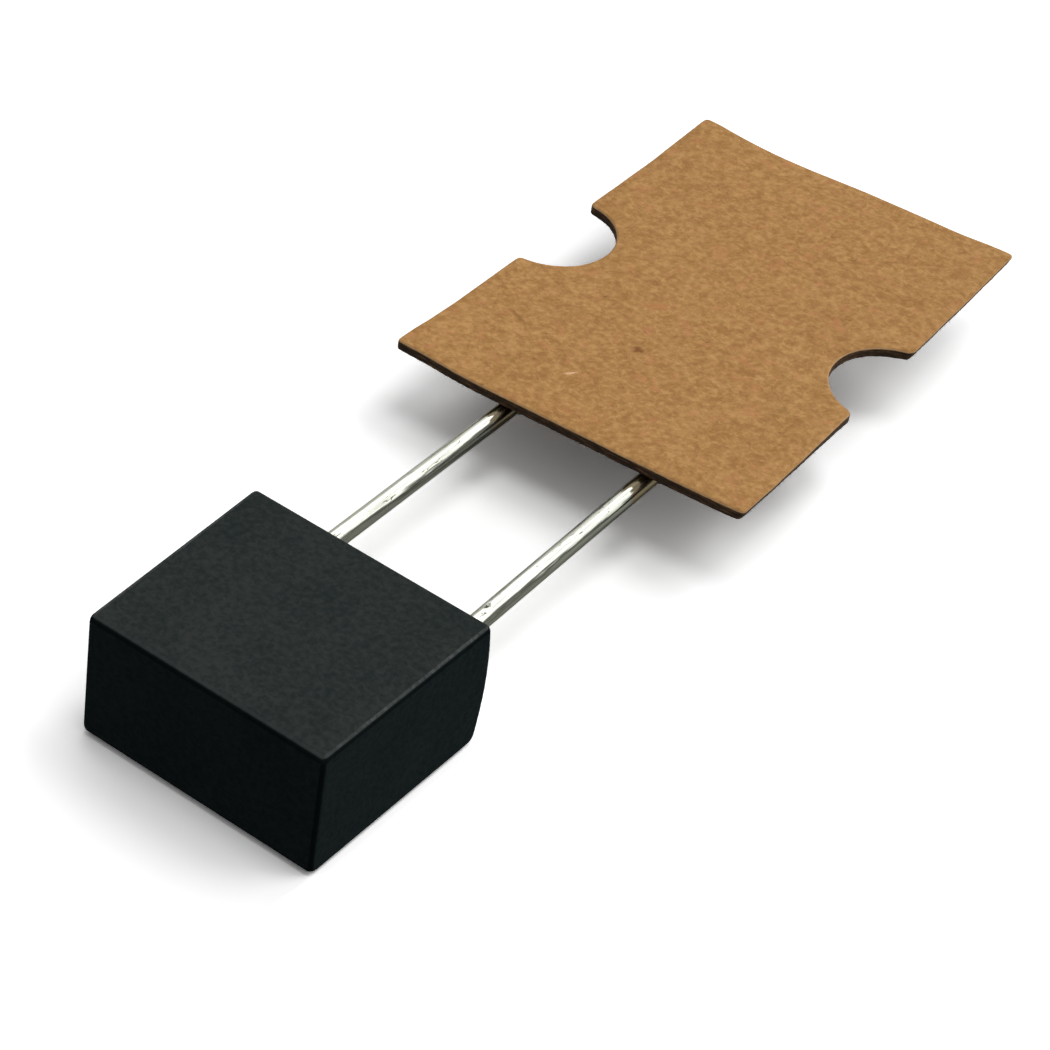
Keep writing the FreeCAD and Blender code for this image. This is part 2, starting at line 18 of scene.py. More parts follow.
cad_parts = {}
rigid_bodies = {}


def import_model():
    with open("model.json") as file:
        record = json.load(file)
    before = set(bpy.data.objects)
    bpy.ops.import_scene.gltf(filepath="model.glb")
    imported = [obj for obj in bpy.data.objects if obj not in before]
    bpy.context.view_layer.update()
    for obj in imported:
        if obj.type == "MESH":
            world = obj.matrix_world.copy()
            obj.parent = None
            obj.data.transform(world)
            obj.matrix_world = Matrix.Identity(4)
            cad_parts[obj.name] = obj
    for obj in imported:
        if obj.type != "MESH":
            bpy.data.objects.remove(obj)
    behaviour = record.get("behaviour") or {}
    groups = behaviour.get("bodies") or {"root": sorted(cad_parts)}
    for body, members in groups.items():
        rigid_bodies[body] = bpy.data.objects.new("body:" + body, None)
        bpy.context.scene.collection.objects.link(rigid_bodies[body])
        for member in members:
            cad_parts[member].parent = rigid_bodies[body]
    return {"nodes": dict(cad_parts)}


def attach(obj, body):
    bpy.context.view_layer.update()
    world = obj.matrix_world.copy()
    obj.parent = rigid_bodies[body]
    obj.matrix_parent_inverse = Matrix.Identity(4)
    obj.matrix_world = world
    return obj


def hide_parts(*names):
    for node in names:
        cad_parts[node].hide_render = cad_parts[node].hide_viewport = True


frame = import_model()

MM = 0.001
log = logging.getLogger("fuse")

RIM = "rim"

Colour = tuple[float, float, float]
Place = tuple[float, float, float]
Point = tuple[float, float]
Triangle = tuple[int, int, int]
Socket = bpy.types.NodeSocket
Value = Union[Socket, float]


class Slot(Enum):
    """The names of the record's material slots."""

    WIRE = "tinned_wire"
    CARD = "kraft_card"
    TAPE = "adhesive_tape"


class Axis(Enum):
    """The three axes of an object, as places in a vector."""

    X = 0
    Y = 1
    Z = 2


def smooth(value: float) -> float:
    """Eases a number that is held between 0 and 1.

    Args:
        value: Any number.

    Returns:
        0 at or below 0, 1 at or above 1, and a smooth rise between.
    """
    held = min(max(value, 0.0), 1.0)
    return held * held * (3.0 - 2.0 * held)


@dataclass(frozen=True)
class Spot:
    """A small uneven mark in a surface: where it is, its colour, and how far it is drawn out one way."""

    place: Place
    reach: float
    colour: Colour
    amount: float
    slim: float = 1.0
    turn: float = 0.0


class Graph:
    """The nodes of one material, added one plain step at a time."""

    def __init__(self, name: str) -> None:
        """Makes a material with one Principled shader.

        Args:
            name: The material's name.
        """
        self.material = bpy.data.materials.new(name)
        self.material.use_nodes = True
        self.nodes = self.material.node_tree.nodes
        self.links = self.material.node_tree.links
        self.shader = self.nodes["Principled BSDF"]
        coordinates = self.nodes.new("ShaderNodeTexCoord")
        self.place = self.vector("MULTIPLY", coordinates.outputs["Object"], (1.0 / MM,) * 3).outputs[0]

    def put(self, socket: Socket, value: Value) -> None:
        """Gives an input either a link or a plain number.

        Args:
            socket: The input.
            value: An output to link, or the number to hold.
        """
        if isinstance(value, bpy.types.NodeSocket):
            self.links.new(value, socket)
        else:
            socket.default_value = value

    def shade(self, name: str, value: Union[Value, Colour]) -> None:
        """Sets one of the Principled shader's inputs.

        Args:
            name: The input's name.
            value: A link, a number or a colour.
        """
        if isinstance(value, tuple):
            value = (*value, 1.0)
        self.put(self.shader.inputs[name], value)

    def vector(self, operation: str, first: Socket, second: Optional[Place] = None) -> bpy.types.Node:
        """Adds one step of vector arithmetic.

        Args:
            operation: The name of the operation, such as MULTIPLY.
            first: The vector to work on.
            second: The fixed vector, where the operation takes one.

        Returns:
            The node.
        """
        node = self.nodes.new("ShaderNodeVectorMath")
        node.operation = operation
        self.links.new(first, node.inputs[0])
        if second is not None:
            node.inputs[1].default_value = second
        return node

    def turned(self, vector: Socket, turn: float) -> Socket:
        """Turns a vector about Z.

        Args:
            vector: The vector.
            turn: The turn, in degrees.

        Returns:
            The vector output.
        """
        node = self.nodes.new("ShaderNodeVectorRotate")
        node.rotation_type = "Z_AXIS"
        node.inputs["Angle"].default_value = math.radians(turn)
        self.links.new(vector, node.inputs["Vector"])
        return node.outputs[0]

    def stretched(self, scale: Place, turn: float = 0.0) -> Socket:
        """Gives places in millimetres, turned about Z and then stretched.

        Args:
            scale: What each axis is multiplied by.
            turn: The turn about Z, in degrees.

        Returns:
            The vector output.
        """
        return self.vector("MULTIPLY", self.turned(self.place, turn), scale).outputs[0]

    def noise(self, scale: float, detail: float = 3.0, roughness: float = 0.5, distortion: float = 0.0,
              vector: Optional[Socket] = None) -> Socket:
        """Adds a noise pattern.

        Args:
            scale: Features in each millimetre.
            detail: How many finer layers it has.
            roughness: How strong the finer layers are.
            distortion: How far it swirls.
            vector: Places to read, if not the plain ones.

        Returns:
            The value output, around a half.
        """
        node = self.nodes.new("ShaderNodeTexNoise")
        node.inputs["Scale"].default_value = scale
        node.inputs["Detail"].default_value = detail
        node.inputs["Roughness"].default_value = roughness
        node.inputs["Distortion"].default_value = distortion
        self.links.new(vector or self.place, node.inputs["Vector"])
        return node.outputs["Fac"]

    def axis(self, axis: Axis, vector: Optional[Socket] = None) -> Socket:
        """Gives one coordinate, in millimetres unless a vector is given.

        Args:
            axis: The coordinate to give.
            vector: The vector to split, if not the place.

        Returns:
            The value output.
        """
        node = self.nodes.new("ShaderNodeSeparateXYZ")
        self.links.new(vector or self.place, node.inputs[0])
        return node.outputs[axis.value]

    def maths(self, operation: str, first: Value, second: Value = 0.0) -> Socket:
        """Adds one step of arithmetic.

        Args:
            operation: The name of the operation, such as ADD.
            first: The first number.
            second: The second number.

        Returns:
            The value output.
        """
        node = self.nodes.new("ShaderNodeMath")
        node.operation = operation
        self.put(node.inputs[0], first)
        self.put(node.inputs[1], second)
        return node.outputs[0]

    def plus(self, first: Value, second: Value) -> Socket:
        """Adds two numbers."""
        return self.maths("ADD", first, second)

    def times(self, first: Value, second: Value) -> Socket:
        """Multiplies two numbers."""
        return self.maths("MULTIPLY", first, second)

    def most(self, first: Value, second: Value) -> Socket:
        """Gives the larger of two numbers."""
        return self.maths("MAXIMUM", first, second)

    def unsigned(self, value: Value) -> Socket:
        """Gives a number without its sign."""
        return self.maths("ABSOLUTE", value)

    def between(self, value: Value, low: float, high: float, start: float = 0.0, end: float = 1.0) -> Socket:
        """Maps a range smoothly onto another.

        Args:
            value: The number to map.
            low: Where the range starts.
            high: Where it ends.
            start: What the start becomes.
            end: What the end becomes.

        Returns:
            The value output.
        """
        node = self.nodes.new("ShaderNodeMapRange")
        node.interpolation_type = "SMOOTHSTEP"
        self.put(node.inputs["Value"], value)
        for name, number in (("From Min", low), ("From Max", high), ("To Min", start), ("To Max", end)):
            node.inputs[name].default_value = number
        return node.outputs["Result"]

    def mix(self, factor: Value, first: Union[Socket, Colour], second: Union[Socket, Colour]) -> Socket:
        """Mixes two colours.

        Args:
            factor: 0 for the first colour, 1 for the second.
            first: A colour or a link.
            second: A colour or a link.

        Returns:
            The colour output.
        """
        node = self.nodes.new("ShaderNodeMix")
        node.data_type = "RGBA"
        self.put(node.inputs[0], factor)
        for socket, value in ((node.inputs[6], first), (node.inputs[7], second)):
            self.put(socket, (*value, 1.0) if isinstance(value, tuple) else value)
        return node.outputs[2]

    def spotted(self, colour: Socket, spot: Spot) -> Socket:
        """Lays one spot over a colour.

        Args:
            colour: The colour under it.
            spot: The spot.

        Returns:
            The colour output.
        """
        away = self.turned(self.vector("SUBTRACT", self.place, spot.place).outputs[0], -spot.turn)
        drawn = self.vector("MULTIPLY", away, (1.0 / spot.slim, 1.0, 1.0)).outputs[0]
        uneven = self.times(self.noise(1.6 / spot.reach, detail=3.0, roughness=0.6), 1.8 * spot.reach)
        far = self.plus(self.vector("LENGTH", drawn).outputs["Value"], uneven)
        return self.mix(self.between(far, spot.reach, 1.9 * spot.reach, spot.amount, 0.0), colour, spot.colour)

    def attribute(self, name: str) -> Socket:
        """Gives the number that a mesh carries at each point.

        Args:
            name: The attribute's name.

        Returns:
            The value output.
        """
        node = self.nodes.new("ShaderNodeAttribute")
        node.attribute_name = name
        return node.outputs["Fac"]

    def normal(self) -> Socket:
        """Gives the direction that the surface faces."""
        return self.nodes.new("ShaderNodeNewGeometry").outputs["Normal"]

    def bump(self, height: Value, depth: float, strength: float = 1.0, after: Optional[Socket] = None) -> Socket:
        """Adds relief to the surface.

        Args:
            height: The pattern, from 0 to 1.
            depth: How far it rises, in millimetres.
            strength: How much of it shows.
            after: The relief that it is added to.

        Returns:
            The normal output.
        """
        node = self.nodes.new("ShaderNodeBump")
        node.inputs["Strength"].default_value = strength
        node.inputs["Distance"].default_value = depth * MM
        self.put(node.inputs["Height"], height)
        if after is not None:
            self.links.new(after, node.inputs["Normal"])
        return node.outputs["Normal"]


@dataclass(frozen=True)
class BlackPlastic:
    """Matte moulded plastic: fine grain, a painted sheen that lightens the faces that look up, painted highlights
    along the upper edges, and painted shade on the rounds.
    """

    deep: Colour = (0.0105, 0.0165, 0.0175)
    pale: Colour = (0.0195, 0.0265, 0.0275)
    # painted sheen: the lighter grey that faces looking up are mixed towards, standing in for the lamps' reflection
    # on the top
    top_sheen: Colour = (0.075, 0.073, 0.064)
    # painted highlight along the upper side edges and, fainter, along the upper front and rear edges
    highlight_grey: Colour = (0.085, 0.092, 0.09)
    # painted shade on the rounded edges
    round_shade: Colour = (0.002, 0.0035, 0.004)
    roughness: float = 0.62
    specular: float = 0.002

    def rounds(self, graph: Graph, upward: Socket, sideways: Socket, lengthways: Socket) -> Socket:
        """Finds the rounded edges between the flat faces, which are painted darker as shade.

        Args:
            graph: The material's nodes.
            upward: How far the surface faces up.
            sideways: How far it faces to either side.
            lengthways: How far it faces to the front or rear.

        Returns:
            The value output, 1 on a round.
        """
        steep = graph.times(graph.between(upward, 0.05, 0.45), graph.between(upward, 0.66, 0.82, 1.0, 0.0))
        corner = graph.between(graph.most(sideways, lengthways), 0.85, 0.995, 1.0, 0.0)
        corner = graph.times(corner, graph.between(upward, 0.3, 0.5, 1.0, 0.0))
        return graph.most(steep, corner)

    def make(self) -> bpy.types.Material:
        """Builds the material.

        Returns:
            The finished material.
        """
        graph = Graph("moulded_black_plastic")
        grain = graph.noise(5.5, detail=4.0, roughness=0.62, distortion=0.4)
        cloud = graph.noise(0.45, detail=2.0)
        tone = graph.plus(graph.times(grain, 0.75), graph.times(cloud, 0.25))
        colour = graph.mix(graph.between(tone, 0.3, 0.7), self.deep, self.pale)
        upward = graph.axis(Axis.Z, graph.normal())
        sideways, lengthways = (graph.unsigned(graph.axis(a, graph.normal())) for a in (Axis.X, Axis.Y))
        # painted sheen: faces that look up are lightened, unevenly, as if they caught the lamps' reflection
        top_sheen_share = graph.times(graph.between(upward, 0.72, 0.84), graph.between(tone, 0.3, 0.7, 0.1, 0.26))
        colour = graph.mix(top_sheen_share, colour, self.top_sheen)
        # painted highlight: the upper side edges turn a speckled lighter grey, the upper front and rear edges a
        # little lighter
        speckle = graph.between(graph.noise(6.0, detail=3.0, roughness=0.7), 0.36, 0.62, 0.3, 0.9)
        patches = graph.between(graph.noise(0.8, detail=2.0), 0.42, 0.58, 0.4, 1.0)
        edge_highlight = graph.times(graph.between(sideways, 0.08, 0.3), graph.times(speckle, patches))
        edge_highlight = graph.most(edge_highlight, graph.between(lengthways, 0.08, 0.45, 0.0, 0.24))
        edge_highlight = graph.times(edge_highlight, graph.between(upward, 0.74, 0.86))
        colour = graph.mix(edge_highlight, colour, self.highlight_grey)
        # painted shade: the rounds are mixed most of the way towards near-black
        smooth = graph.times(self.rounds(graph, upward, sideways, lengthways), 0.78)
        graph.shade("Base Color", graph.mix(smooth, colour, self.round_shade))
        fine = graph.noise(26.0, detail=2.0, roughness=0.6)
        graph.shade("Roughness", graph.between(fine, 0.3, 0.7, self.roughness - 0.07, self.roughness + 0.09))
        graph.shade("Specular IOR Level", self.specular)
        relief = graph.bump(fine, 0.004, 0.5)
        graph.shade("Normal", graph.bump(grain, 0.012, 0.45, after=relief))
        return graph.material


@dataclass(frozen=True)
class TinnedWire:
    """Bright tin over drawn copper: long draw marks and thin dark scratches, painted dark reflections on the
    underside and the upper flank, and painted shade where it runs in under the card.
    """

    bright: Colour = (0.95, 0.96, 0.85)
    grey: Colour = (0.74, 0.75, 0.66)
    scratch: Colour = (0.12, 0.12, 0.09)
    # painted reflection: the dark surroundings that the underside and the upper flank mirror, with a darker line
    # along the underside's edge
    dark_reflection: Colour = (0.15, 0.155, 0.13)
    reflection_edge_line: Colour = (0.045, 0.048, 0.037)
    flank_reflection: Colour = (0.16, 0.153, 0.13)
    # where the painted dark reflections start to widen towards the card
    spread_y: float = 7.5
    # painted shade where the wire runs in under the card
    card_shade: Colour = (0.14, 0.115, 0.075)
    card_shade_y: float = 12.8
    card_shade_fade: float = 0.1
    edge_tint: Colour = (0.42, 0.43, 0.39)
    roughness: float = 0.2
    dark_reflection_turn: float = -12.0
    flank_reflection_turn: float = 160.0
    nick: Spot = Spot((2.48, 5.9, 2.46), 0.13, (0.02, 0.02, 0.016), 1.0, 1.6, 90.0)

    def towards(self, graph: Graph, turn: float, drawn: Socket) -> Socket:
        """Tells how far the round wire faces one way, with ragged streaks.

        Args:
            graph: The material's nodes.
            turn: The way round the wire, in degrees from +X up towards +Z.
            drawn: The draw marks, which make it ragged.

        Returns:
            The value output, 1 where the wire faces that way.
        """
        way = (math.cos(math.radians(turn)), 0.0, math.sin(math.radians(turn)))
        facing = graph.vector("DOT_PRODUCT", graph.normal(), way).outputs["Value"]
        return graph.plus(facing, graph.between(drawn, 0.3, 0.7, -0.16, 0.16))

    def make(self) -> bpy.types.Material:
        """Builds the material.

        Returns:
            The finished material.
        """
        graph = Graph("tinned_wire")
        drawn = graph.noise(1.0, detail=4.0, roughness=0.6, vector=graph.stretched((9.0, 0.45, 9.0)))
        patches = graph.noise(1.0, detail=3.0, roughness=0.6, vector=graph.stretched((3.0, 1.2, 3.0)))
        lines = graph.noise(1.0, detail=2.0, roughness=0.7, vector=graph.stretched((6.0, 0.7, 6.0)))
        near_line = graph.unsigned(graph.maths("SUBTRACT", lines, 0.5))
        broken = graph.between(patches, 0.46, 0.6)
        scratched = graph.times(graph.between(near_line, 0.004, 0.016, 1.0, 0.0), broken)
        colour = graph.mix(graph.between(drawn, 0.35, 0.65), self.grey, self.bright)
        colour = graph.mix(scratched, colour, self.scratch)
        # painted reflection: the underside and the upper flank are darkened by the way they face, more so towards
        # the card
        spread = graph.between(graph.axis(Axis.Y), self.spread_y, self.card_shade_y, 0.0, 0.24)
        upper = graph.plus(self.towards(graph, self.flank_reflection_turn, drawn), spread)
        colour = graph.mix(graph.between(upper, 0.36, 0.66, 0.0, 0.6), colour, self.flank_reflection)
        lower = graph.plus(self.towards(graph, self.dark_reflection_turn, drawn), graph.times(spread, 0.4))
        colour = graph.mix(graph.between(lower, 0.4, 0.68), colour, self.dark_reflection)
        reflection_edge_line = graph.times(graph.between(lower, 0.5, 0.68), graph.between(lower, 0.7, 0.92, 0.65, 0.0))
        colour = graph.mix(reflection_edge_line, colour, self.reflection_edge_line)
        colour = graph.spotted(colour, self.nick)
        # painted shade: the wire darkens, with a ragged edge, just before it runs in under the card
        along = graph.plus(graph.axis(Axis.Y), graph.between(drawn, 0.3, 0.7, -0.25, 0.25))
        card_shaded = graph.between(along, self.card_shade_y, self.card_shade_y + self.card_shade_fade)
        graph.shade("Base Color", graph.mix(card_shaded, colour, self.card_shade))
        graph.shade("Metallic", 1.0)
        graph.shade("Specular Tint", self.edge_tint)
        graph.shade("Roughness", graph.between(drawn, 0.3, 0.7, self.roughness - 0.06, self.roughness + 0.12))
        graph.shade("Normal", graph.bump(drawn, 0.006, 0.5))
        return graph.material


@dataclass(frozen=True)
class KraftCard:
    """Brown kraft board: a mat of short fibres on its faces, and torn layers on its cut edges, darkened there as
    painted shade, under a pale rim that is partly loose fuzz and partly painted highlight.
    """

    light: Colour = (0.55, 0.31, 0.12)
    middle: Colour = (0.43, 0.23, 0.079)
    dark: Colour = (0.285, 0.135, 0.043)
    reddish: Colour = (0.48, 0.21, 0.088)
    # the pale rim at the top of each cut: partly loose fuzz, partly painted highlight
    edge_highlight: Colour = (0.66, 0.43, 0.24)
    # the cut walls: the torn layers are the board's own, their near-black darkness is painted shade
    cut: Colour = (0.055, 0.036, 0.024)
    cut_light: Colour = (0.2, 0.115, 0.062)
    turns: tuple[float, ...] = (14.0, 68.0, 118.0, 161.0)
    spots: tuple[Spot, ...] = (
        Spot((-0.89, 18.52, 2.81), 0.25, (0.19, 0.075, 0.024), 0.8, 1.3, 30.0),
        Spot((4.17, 19.05, 2.94), 0.28, (0.26, 0.14, 0.042), 0.6),
        Spot((-4.73, 17.36, 2.71), 0.12, (0.26, 0.13, 0.04), 0.75, 5.0, -21.0),
        Spot((-1.74, 16.04, 2.79), 0.08, (0.8, 0.5, 0.29), 0.9, 4.0, 51.0),
        Spot((-1.73, 20.89, 2.79), 0.35, (0.5, 0.21, 0.085), 0.45, 2.2, 35.0),
        Spot((2.93, 19.47, 2.91), 0.25, (0.52, 0.22, 0.09), 0.45),
    )

    def flecks(self, graph: Graph, turn: float, shift: float) -> Socket:
        """Adds fibres that lie one way.

        Args:
            graph: The material's nodes.
            turn: Which way they lie, in degrees.
            shift: How much the width of this layer's fibres differs.

        Returns:
            The value output, 1 on a fibre.
        """
        vector = graph.stretched((2.6, 4.6 + shift, 4.6 + shift), turn)
        return graph.between(graph.noise(1.0, 3.0, 0.6, 0.6, vector), 0.49, 0.7)

    def make(self) -> bpy.types.Material:
        """Builds the material.

        Returns:
            The finished material.
        """
        graph = Graph("kraft_board")
        raised: Value = 0.0
        sunk: Value = 0.0
        for index, turn in enumerate(self.turns):
            layer = self.flecks(graph, turn, 0.9 * index)
            if index % 2:
                sunk = graph.most(sunk, layer)
            else:
                raised = graph.most(raised, layer)
        mottled = graph.noise(1.9, detail=5.0, roughness=0.66)
        grain = graph.noise(4.6, detail=2.0, roughness=0.6)
        colour = graph.mix(graph.between(mottled, 0.3, 0.7, 0.0, 0.6), self.middle, self.dark)
        colour = graph.mix(graph.between(grain, 0.28, 0.5, 0.5, 0.0), colour, self.dark)
        colour = graph.mix(graph.between(grain, 0.46, 0.7, 0.0, 0.65), colour, self.light)
        colour = graph.mix(graph.times(sunk, 0.34), colour, self.dark)
        colour = graph.mix(graph.times(raised, 0.4), colour, self.light)
        tinged = graph.between(graph.noise(1.5, detail=4.0, roughness=0.65, distortion=0.8), 0.55, 0.7, 0.0, 0.6)
        colour = graph.mix(tinged, colour, self.reddish)
        for spot in self.spots:
            colour = graph.spotted(colour, spot)
        layers = graph.noise(1.0, 3.0, 0.6, 0.3, graph.stretched((2.2, 2.2, 13.0)))
        # painted shade: the cut walls' torn layers are much darker than the board's face
        shaded_torn = graph.mix(graph.between(layers, 0.45, 0.72), self.cut, self.cut_light)
        rim = graph.attribute(RIM)
        # the pale rim at the top of each cut, partly loose fuzz and partly painted highlight
        colour = graph.mix(graph.between(rim, 0.0, 0.15, 0.0, 0.55), colour, self.edge_highlight)
        graph.shade("Base Color", graph.mix(graph.between(rim, 0.25, 0.85), colour, shaded_torn))
        graph.shade("Roughness", graph.between(mottled, 0.3, 0.7, 0.8, 0.95))
        graph.shade("Specular IOR Level", 0.1)
        relief = graph.bump(graph.noise(22.0, detail=3.0, roughness=0.65), 0.01, 0.5)
        relief = graph.bump(raised, 0.012, 0.5, after=relief)
        graph.shade("Normal", graph.bump(layers, 0.03, 0.5, after=relief))
        return graph.material


@dataclass(frozen=True)
class AdhesiveTape:
    """Thin pale brown paper tape with a fine crepe across it, and painted shade on its cut edges."""

    light: Colour = (0.62, 0.49, 0.33)
    dark: Colour = (0.5, 0.37, 0.23)
    # painted shade on the cut edges
    cut: Colour = (0.045, 0.03, 0.02)

    def make(self) -> bpy.types.Material:
        """Builds the material.

        Returns:
            The finished material.
        """
        graph = Graph("paper_tape")
        crepe = graph.noise(1.0, 3.0, 0.6, 0.2, graph.stretched((9.0, 1.1, 4.0)))
        cloudy = graph.noise(1.1, detail=4.0)
        colour = graph.mix(graph.between(crepe, 0.35, 0.65), self.dark, self.light)
        colour = graph.mix(graph.between(cloudy, 0.4, 0.8, 0.0, 0.5), colour, self.dark)
        # painted shade: faces that stand on edge are mixed towards near-black
        edge_shade = graph.between(graph.unsigned(graph.axis(Axis.Z, graph.normal())), 0.5, 0.85, 1.0, 0.0)
        graph.shade("Base Color", graph.mix(edge_shade, colour, self.cut))
        graph.shade("Roughness", graph.between(cloudy, 0.3, 0.7, 0.5, 0.68))
        graph.shade("Specular IOR Level", 0.35)
        graph.shade("Normal", graph.bump(crepe, 0.014, 0.6))
        return graph.material


@dataclass(frozen=True)
class SmallMetal:
    """A small metal part inside the case: solder or fuse wire."""

    name: str
    light: Colour
    dark: Colour
    roughness: float
    features: float

    def make(self) -> bpy.types.Material:
        """Builds the material.

        Returns:
            The finished material.
        """
        graph = Graph(self.name)
        ripple = graph.noise(self.features, detail=4.0, roughness=0.6, distortion=0.5)
        graph.shade("Base Color", graph.mix(graph.between(ripple, 0.3, 0.7), self.dark, self.light))
        graph.shade("Metallic", 1.0)
        graph.shade("Roughness", graph.between(ripple, 0.3, 0.7, self.roughness, self.roughness + 0.15))
        graph.shade("Normal", graph.bump(ripple, 0.012, 0.5))
        return graph.material


@dataclass(frozen=True)
class GlassFibreRod:
    """A white rod of glass fibres that run along it."""

    light: Colour = (0.86, 0.86, 0.81)
    dark: Colour = (0.68, 0.68, 0.62)

    def make(self) -> bpy.types.Material:
        """Builds the material.

        Returns:
            The finished material.
        """
        graph = Graph("glass_fibre_rod")
        strands = graph.noise(1.0, 3.0, 0.6, 0.0, graph.stretched((0.8, 22.0, 22.0)))
        graph.shade("Base Color", graph.mix(graph.between(strands, 0.35, 0.65), self.dark, self.light))
        graph.shade("Roughness", graph.between(strands, 0.3, 0.7, 0.35, 0.55))
        graph.shade("Normal", graph.bump(strands, 0.008, 0.6))
        return graph.material


def fill(ring: list[Point], inner: list[Point]) -> list[Triangle]:
    """Fills a closed outline with triangles.

    Args:
        ring: The outline's points, anticlockwise.
        inner: Points inside it that the triangles also use.

    Returns:
        Triangles as places in ring and inner taken together.
    """
    points = [Vector(point) for point in (*ring, *inner)]
    found = delaunay_2d_cdt(points, [], [list(range(len(ring)))], 1, 1e-7)
    source = [ids[0] for ids in found[3]]
    return [tuple(source[corner] for corner in face) for face in found[2]]


def mesh_piece(name: str, points: Iterable[Vector], faces: Iterable[tuple[int, ...]],
               sharp: float = 40.0) -> bpy.types.Object:
    """Makes one mesh object at the origin, smooth except at its sharp edges.

    Args:
        name: The piece's name.
        points: Its corners, in millimetres.
        faces: Its faces, as places in points.
        sharp: The angle in degrees from which an edge stays sharp.

    Returns:
        The new object.
    """
    mesh = bpy.data.meshes.new(name)
    mesh.from_pydata([point * MM for point in points], [], list(faces))
    mesh.validate()
    mesh.shade_smooth()
    mesh.set_sharp_from_angle(angle=math.radians(sharp))
    piece = bpy.data.objects.new(name, mesh)
    bpy.context.scene.collection.objects.link(piece)
    return piece


def settle(piece: bpy.types.Object, slot: Slot, material: bpy.types.Material, *nodes: str) -> None:
    """Gives a finished piece its material, its place in the frame and the CAD nodes it stands for.

    Args:
        piece: The finished piece.
        slot: The record's slot. Not used.
        material: The material it wears.
        nodes: The CAD nodes that it replaces.
    """
    piece.data.materials.clear()
    piece.data.materials.append(material)
    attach(piece, "root")
    if nodes:
        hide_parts(*nodes)
    log.info("%s: %d faces, replaces %s", piece.name, len(piece.data.polygons), ", ".join(nodes) or "nothing")


def frozen(piece: bpy.types.Object, name: str) -> bpy.types.Object:
    """Turns what an object's modifiers make into a plain mesh and removes the object.

    Args:
        piece: The object with live modifiers.
        name: The new object's name.

    Returns:
        A mesh object with no modifiers.
    """
    graph = bpy.context.evaluated_depsgraph_get()
    mesh = bpy.data.meshes.new_from_object(piece.evaluated_get(graph), depsgraph=graph)
    bpy.data.objects.remove(piece)
    mesh.name = name
    made = bpy.data.objects.new(name, mesh)
    bpy.context.scene.collection.objects.link(made)
    return made


class Tree:
    """A Geometry Nodes tree that is built in the script."""

    def __init__(self, name: str, inputs: dict[str, str]) -> None:
        """Makes a tree with a geometry input and output.

        Args:
            name: The tree's name.
            inputs: Each further input's name, with its socket type.
        """
        self.group = bpy.data.node_groups.new(name, "GeometryNodeTree")
        self.ids: dict[str, str] = {}
        face = self.group.interface
        face.new_socket("Geometry", in_out="INPUT", socket_type="NodeSocketGeometry")
        face.new_socket("Geometry", in_out="OUTPUT", socket_type="NodeSocketGeometry")
        for label, kind in inputs.items():
            self.ids[label] = face.new_socket(label, in_out="INPUT", socket_type=kind).identifier
        self.start = self.group.nodes.new("NodeGroupInput")
        self.end = self.group.nodes.new("NodeGroupOutput")

    def given(self, label: str) -> Socket:
        """Gives one of the tree's inputs."""
        return self.start.outputs[label]

    def step(self, kind: str, settings: Optional[dict[str, object]] = None, **links: object) -> bpy.types.Node:
        """Adds a node and connects it.

        Args:
            kind: The node's type, without its family's prefix.
            settings: The node's own options.
            links: Each input's name, spaces as underscores, or i and its number, with an output or a value.

        Returns:
            The node.
        """
        node = self.group.nodes.new(kind)
        for label, option in (settings or {}).items():
            setattr(node, label, option)
        for label, value in links.items():
            numbered = label[0] == "i" and label[1:].isdigit()
            socket = node.inputs[int(label[1:]) if numbered else label.replace("_", " ")]
            if isinstance(value, bpy.types.Node):
                value = value.outputs[0]
            if isinstance(value, bpy.types.NodeSocket):
                self.group.links.new(value, socket)
            else:
                socket.default_value = value
        return node

    def close(self, last: bpy.types.Node) -> None:
        """Ends the tree by realising instances and setting the material.

        Args:
            last: The node that gives the finished shape.
        """
        real = self.step("GeometryNodeRealizeInstances", Geometry=last)
        dressed = self.step("GeometryNodeSetMaterial", Geometry=real, Material=self.given("Material"))
        self.group.links.new(dressed.outputs[0], self.end.inputs[0])

    def run(self, piece: bpy.types.Object, name: str, values: dict[str, object]) -> bpy.types.Object:
        """Runs the tree on an object and keeps the result as a plain mesh.

        Args:
            piece: The object that the tree starts from. It is used up.
            name: The result's name.
            values: A value for each of the tree's inputs.

        Returns:
            The finished mesh object.
        """
        modifier = piece.modifiers.new(self.group.name, "NODES")
        modifier.node_group = self.group
        for label, value in values.items():
            modifier[self.ids[label]] = value
        return frozen(piece, name)


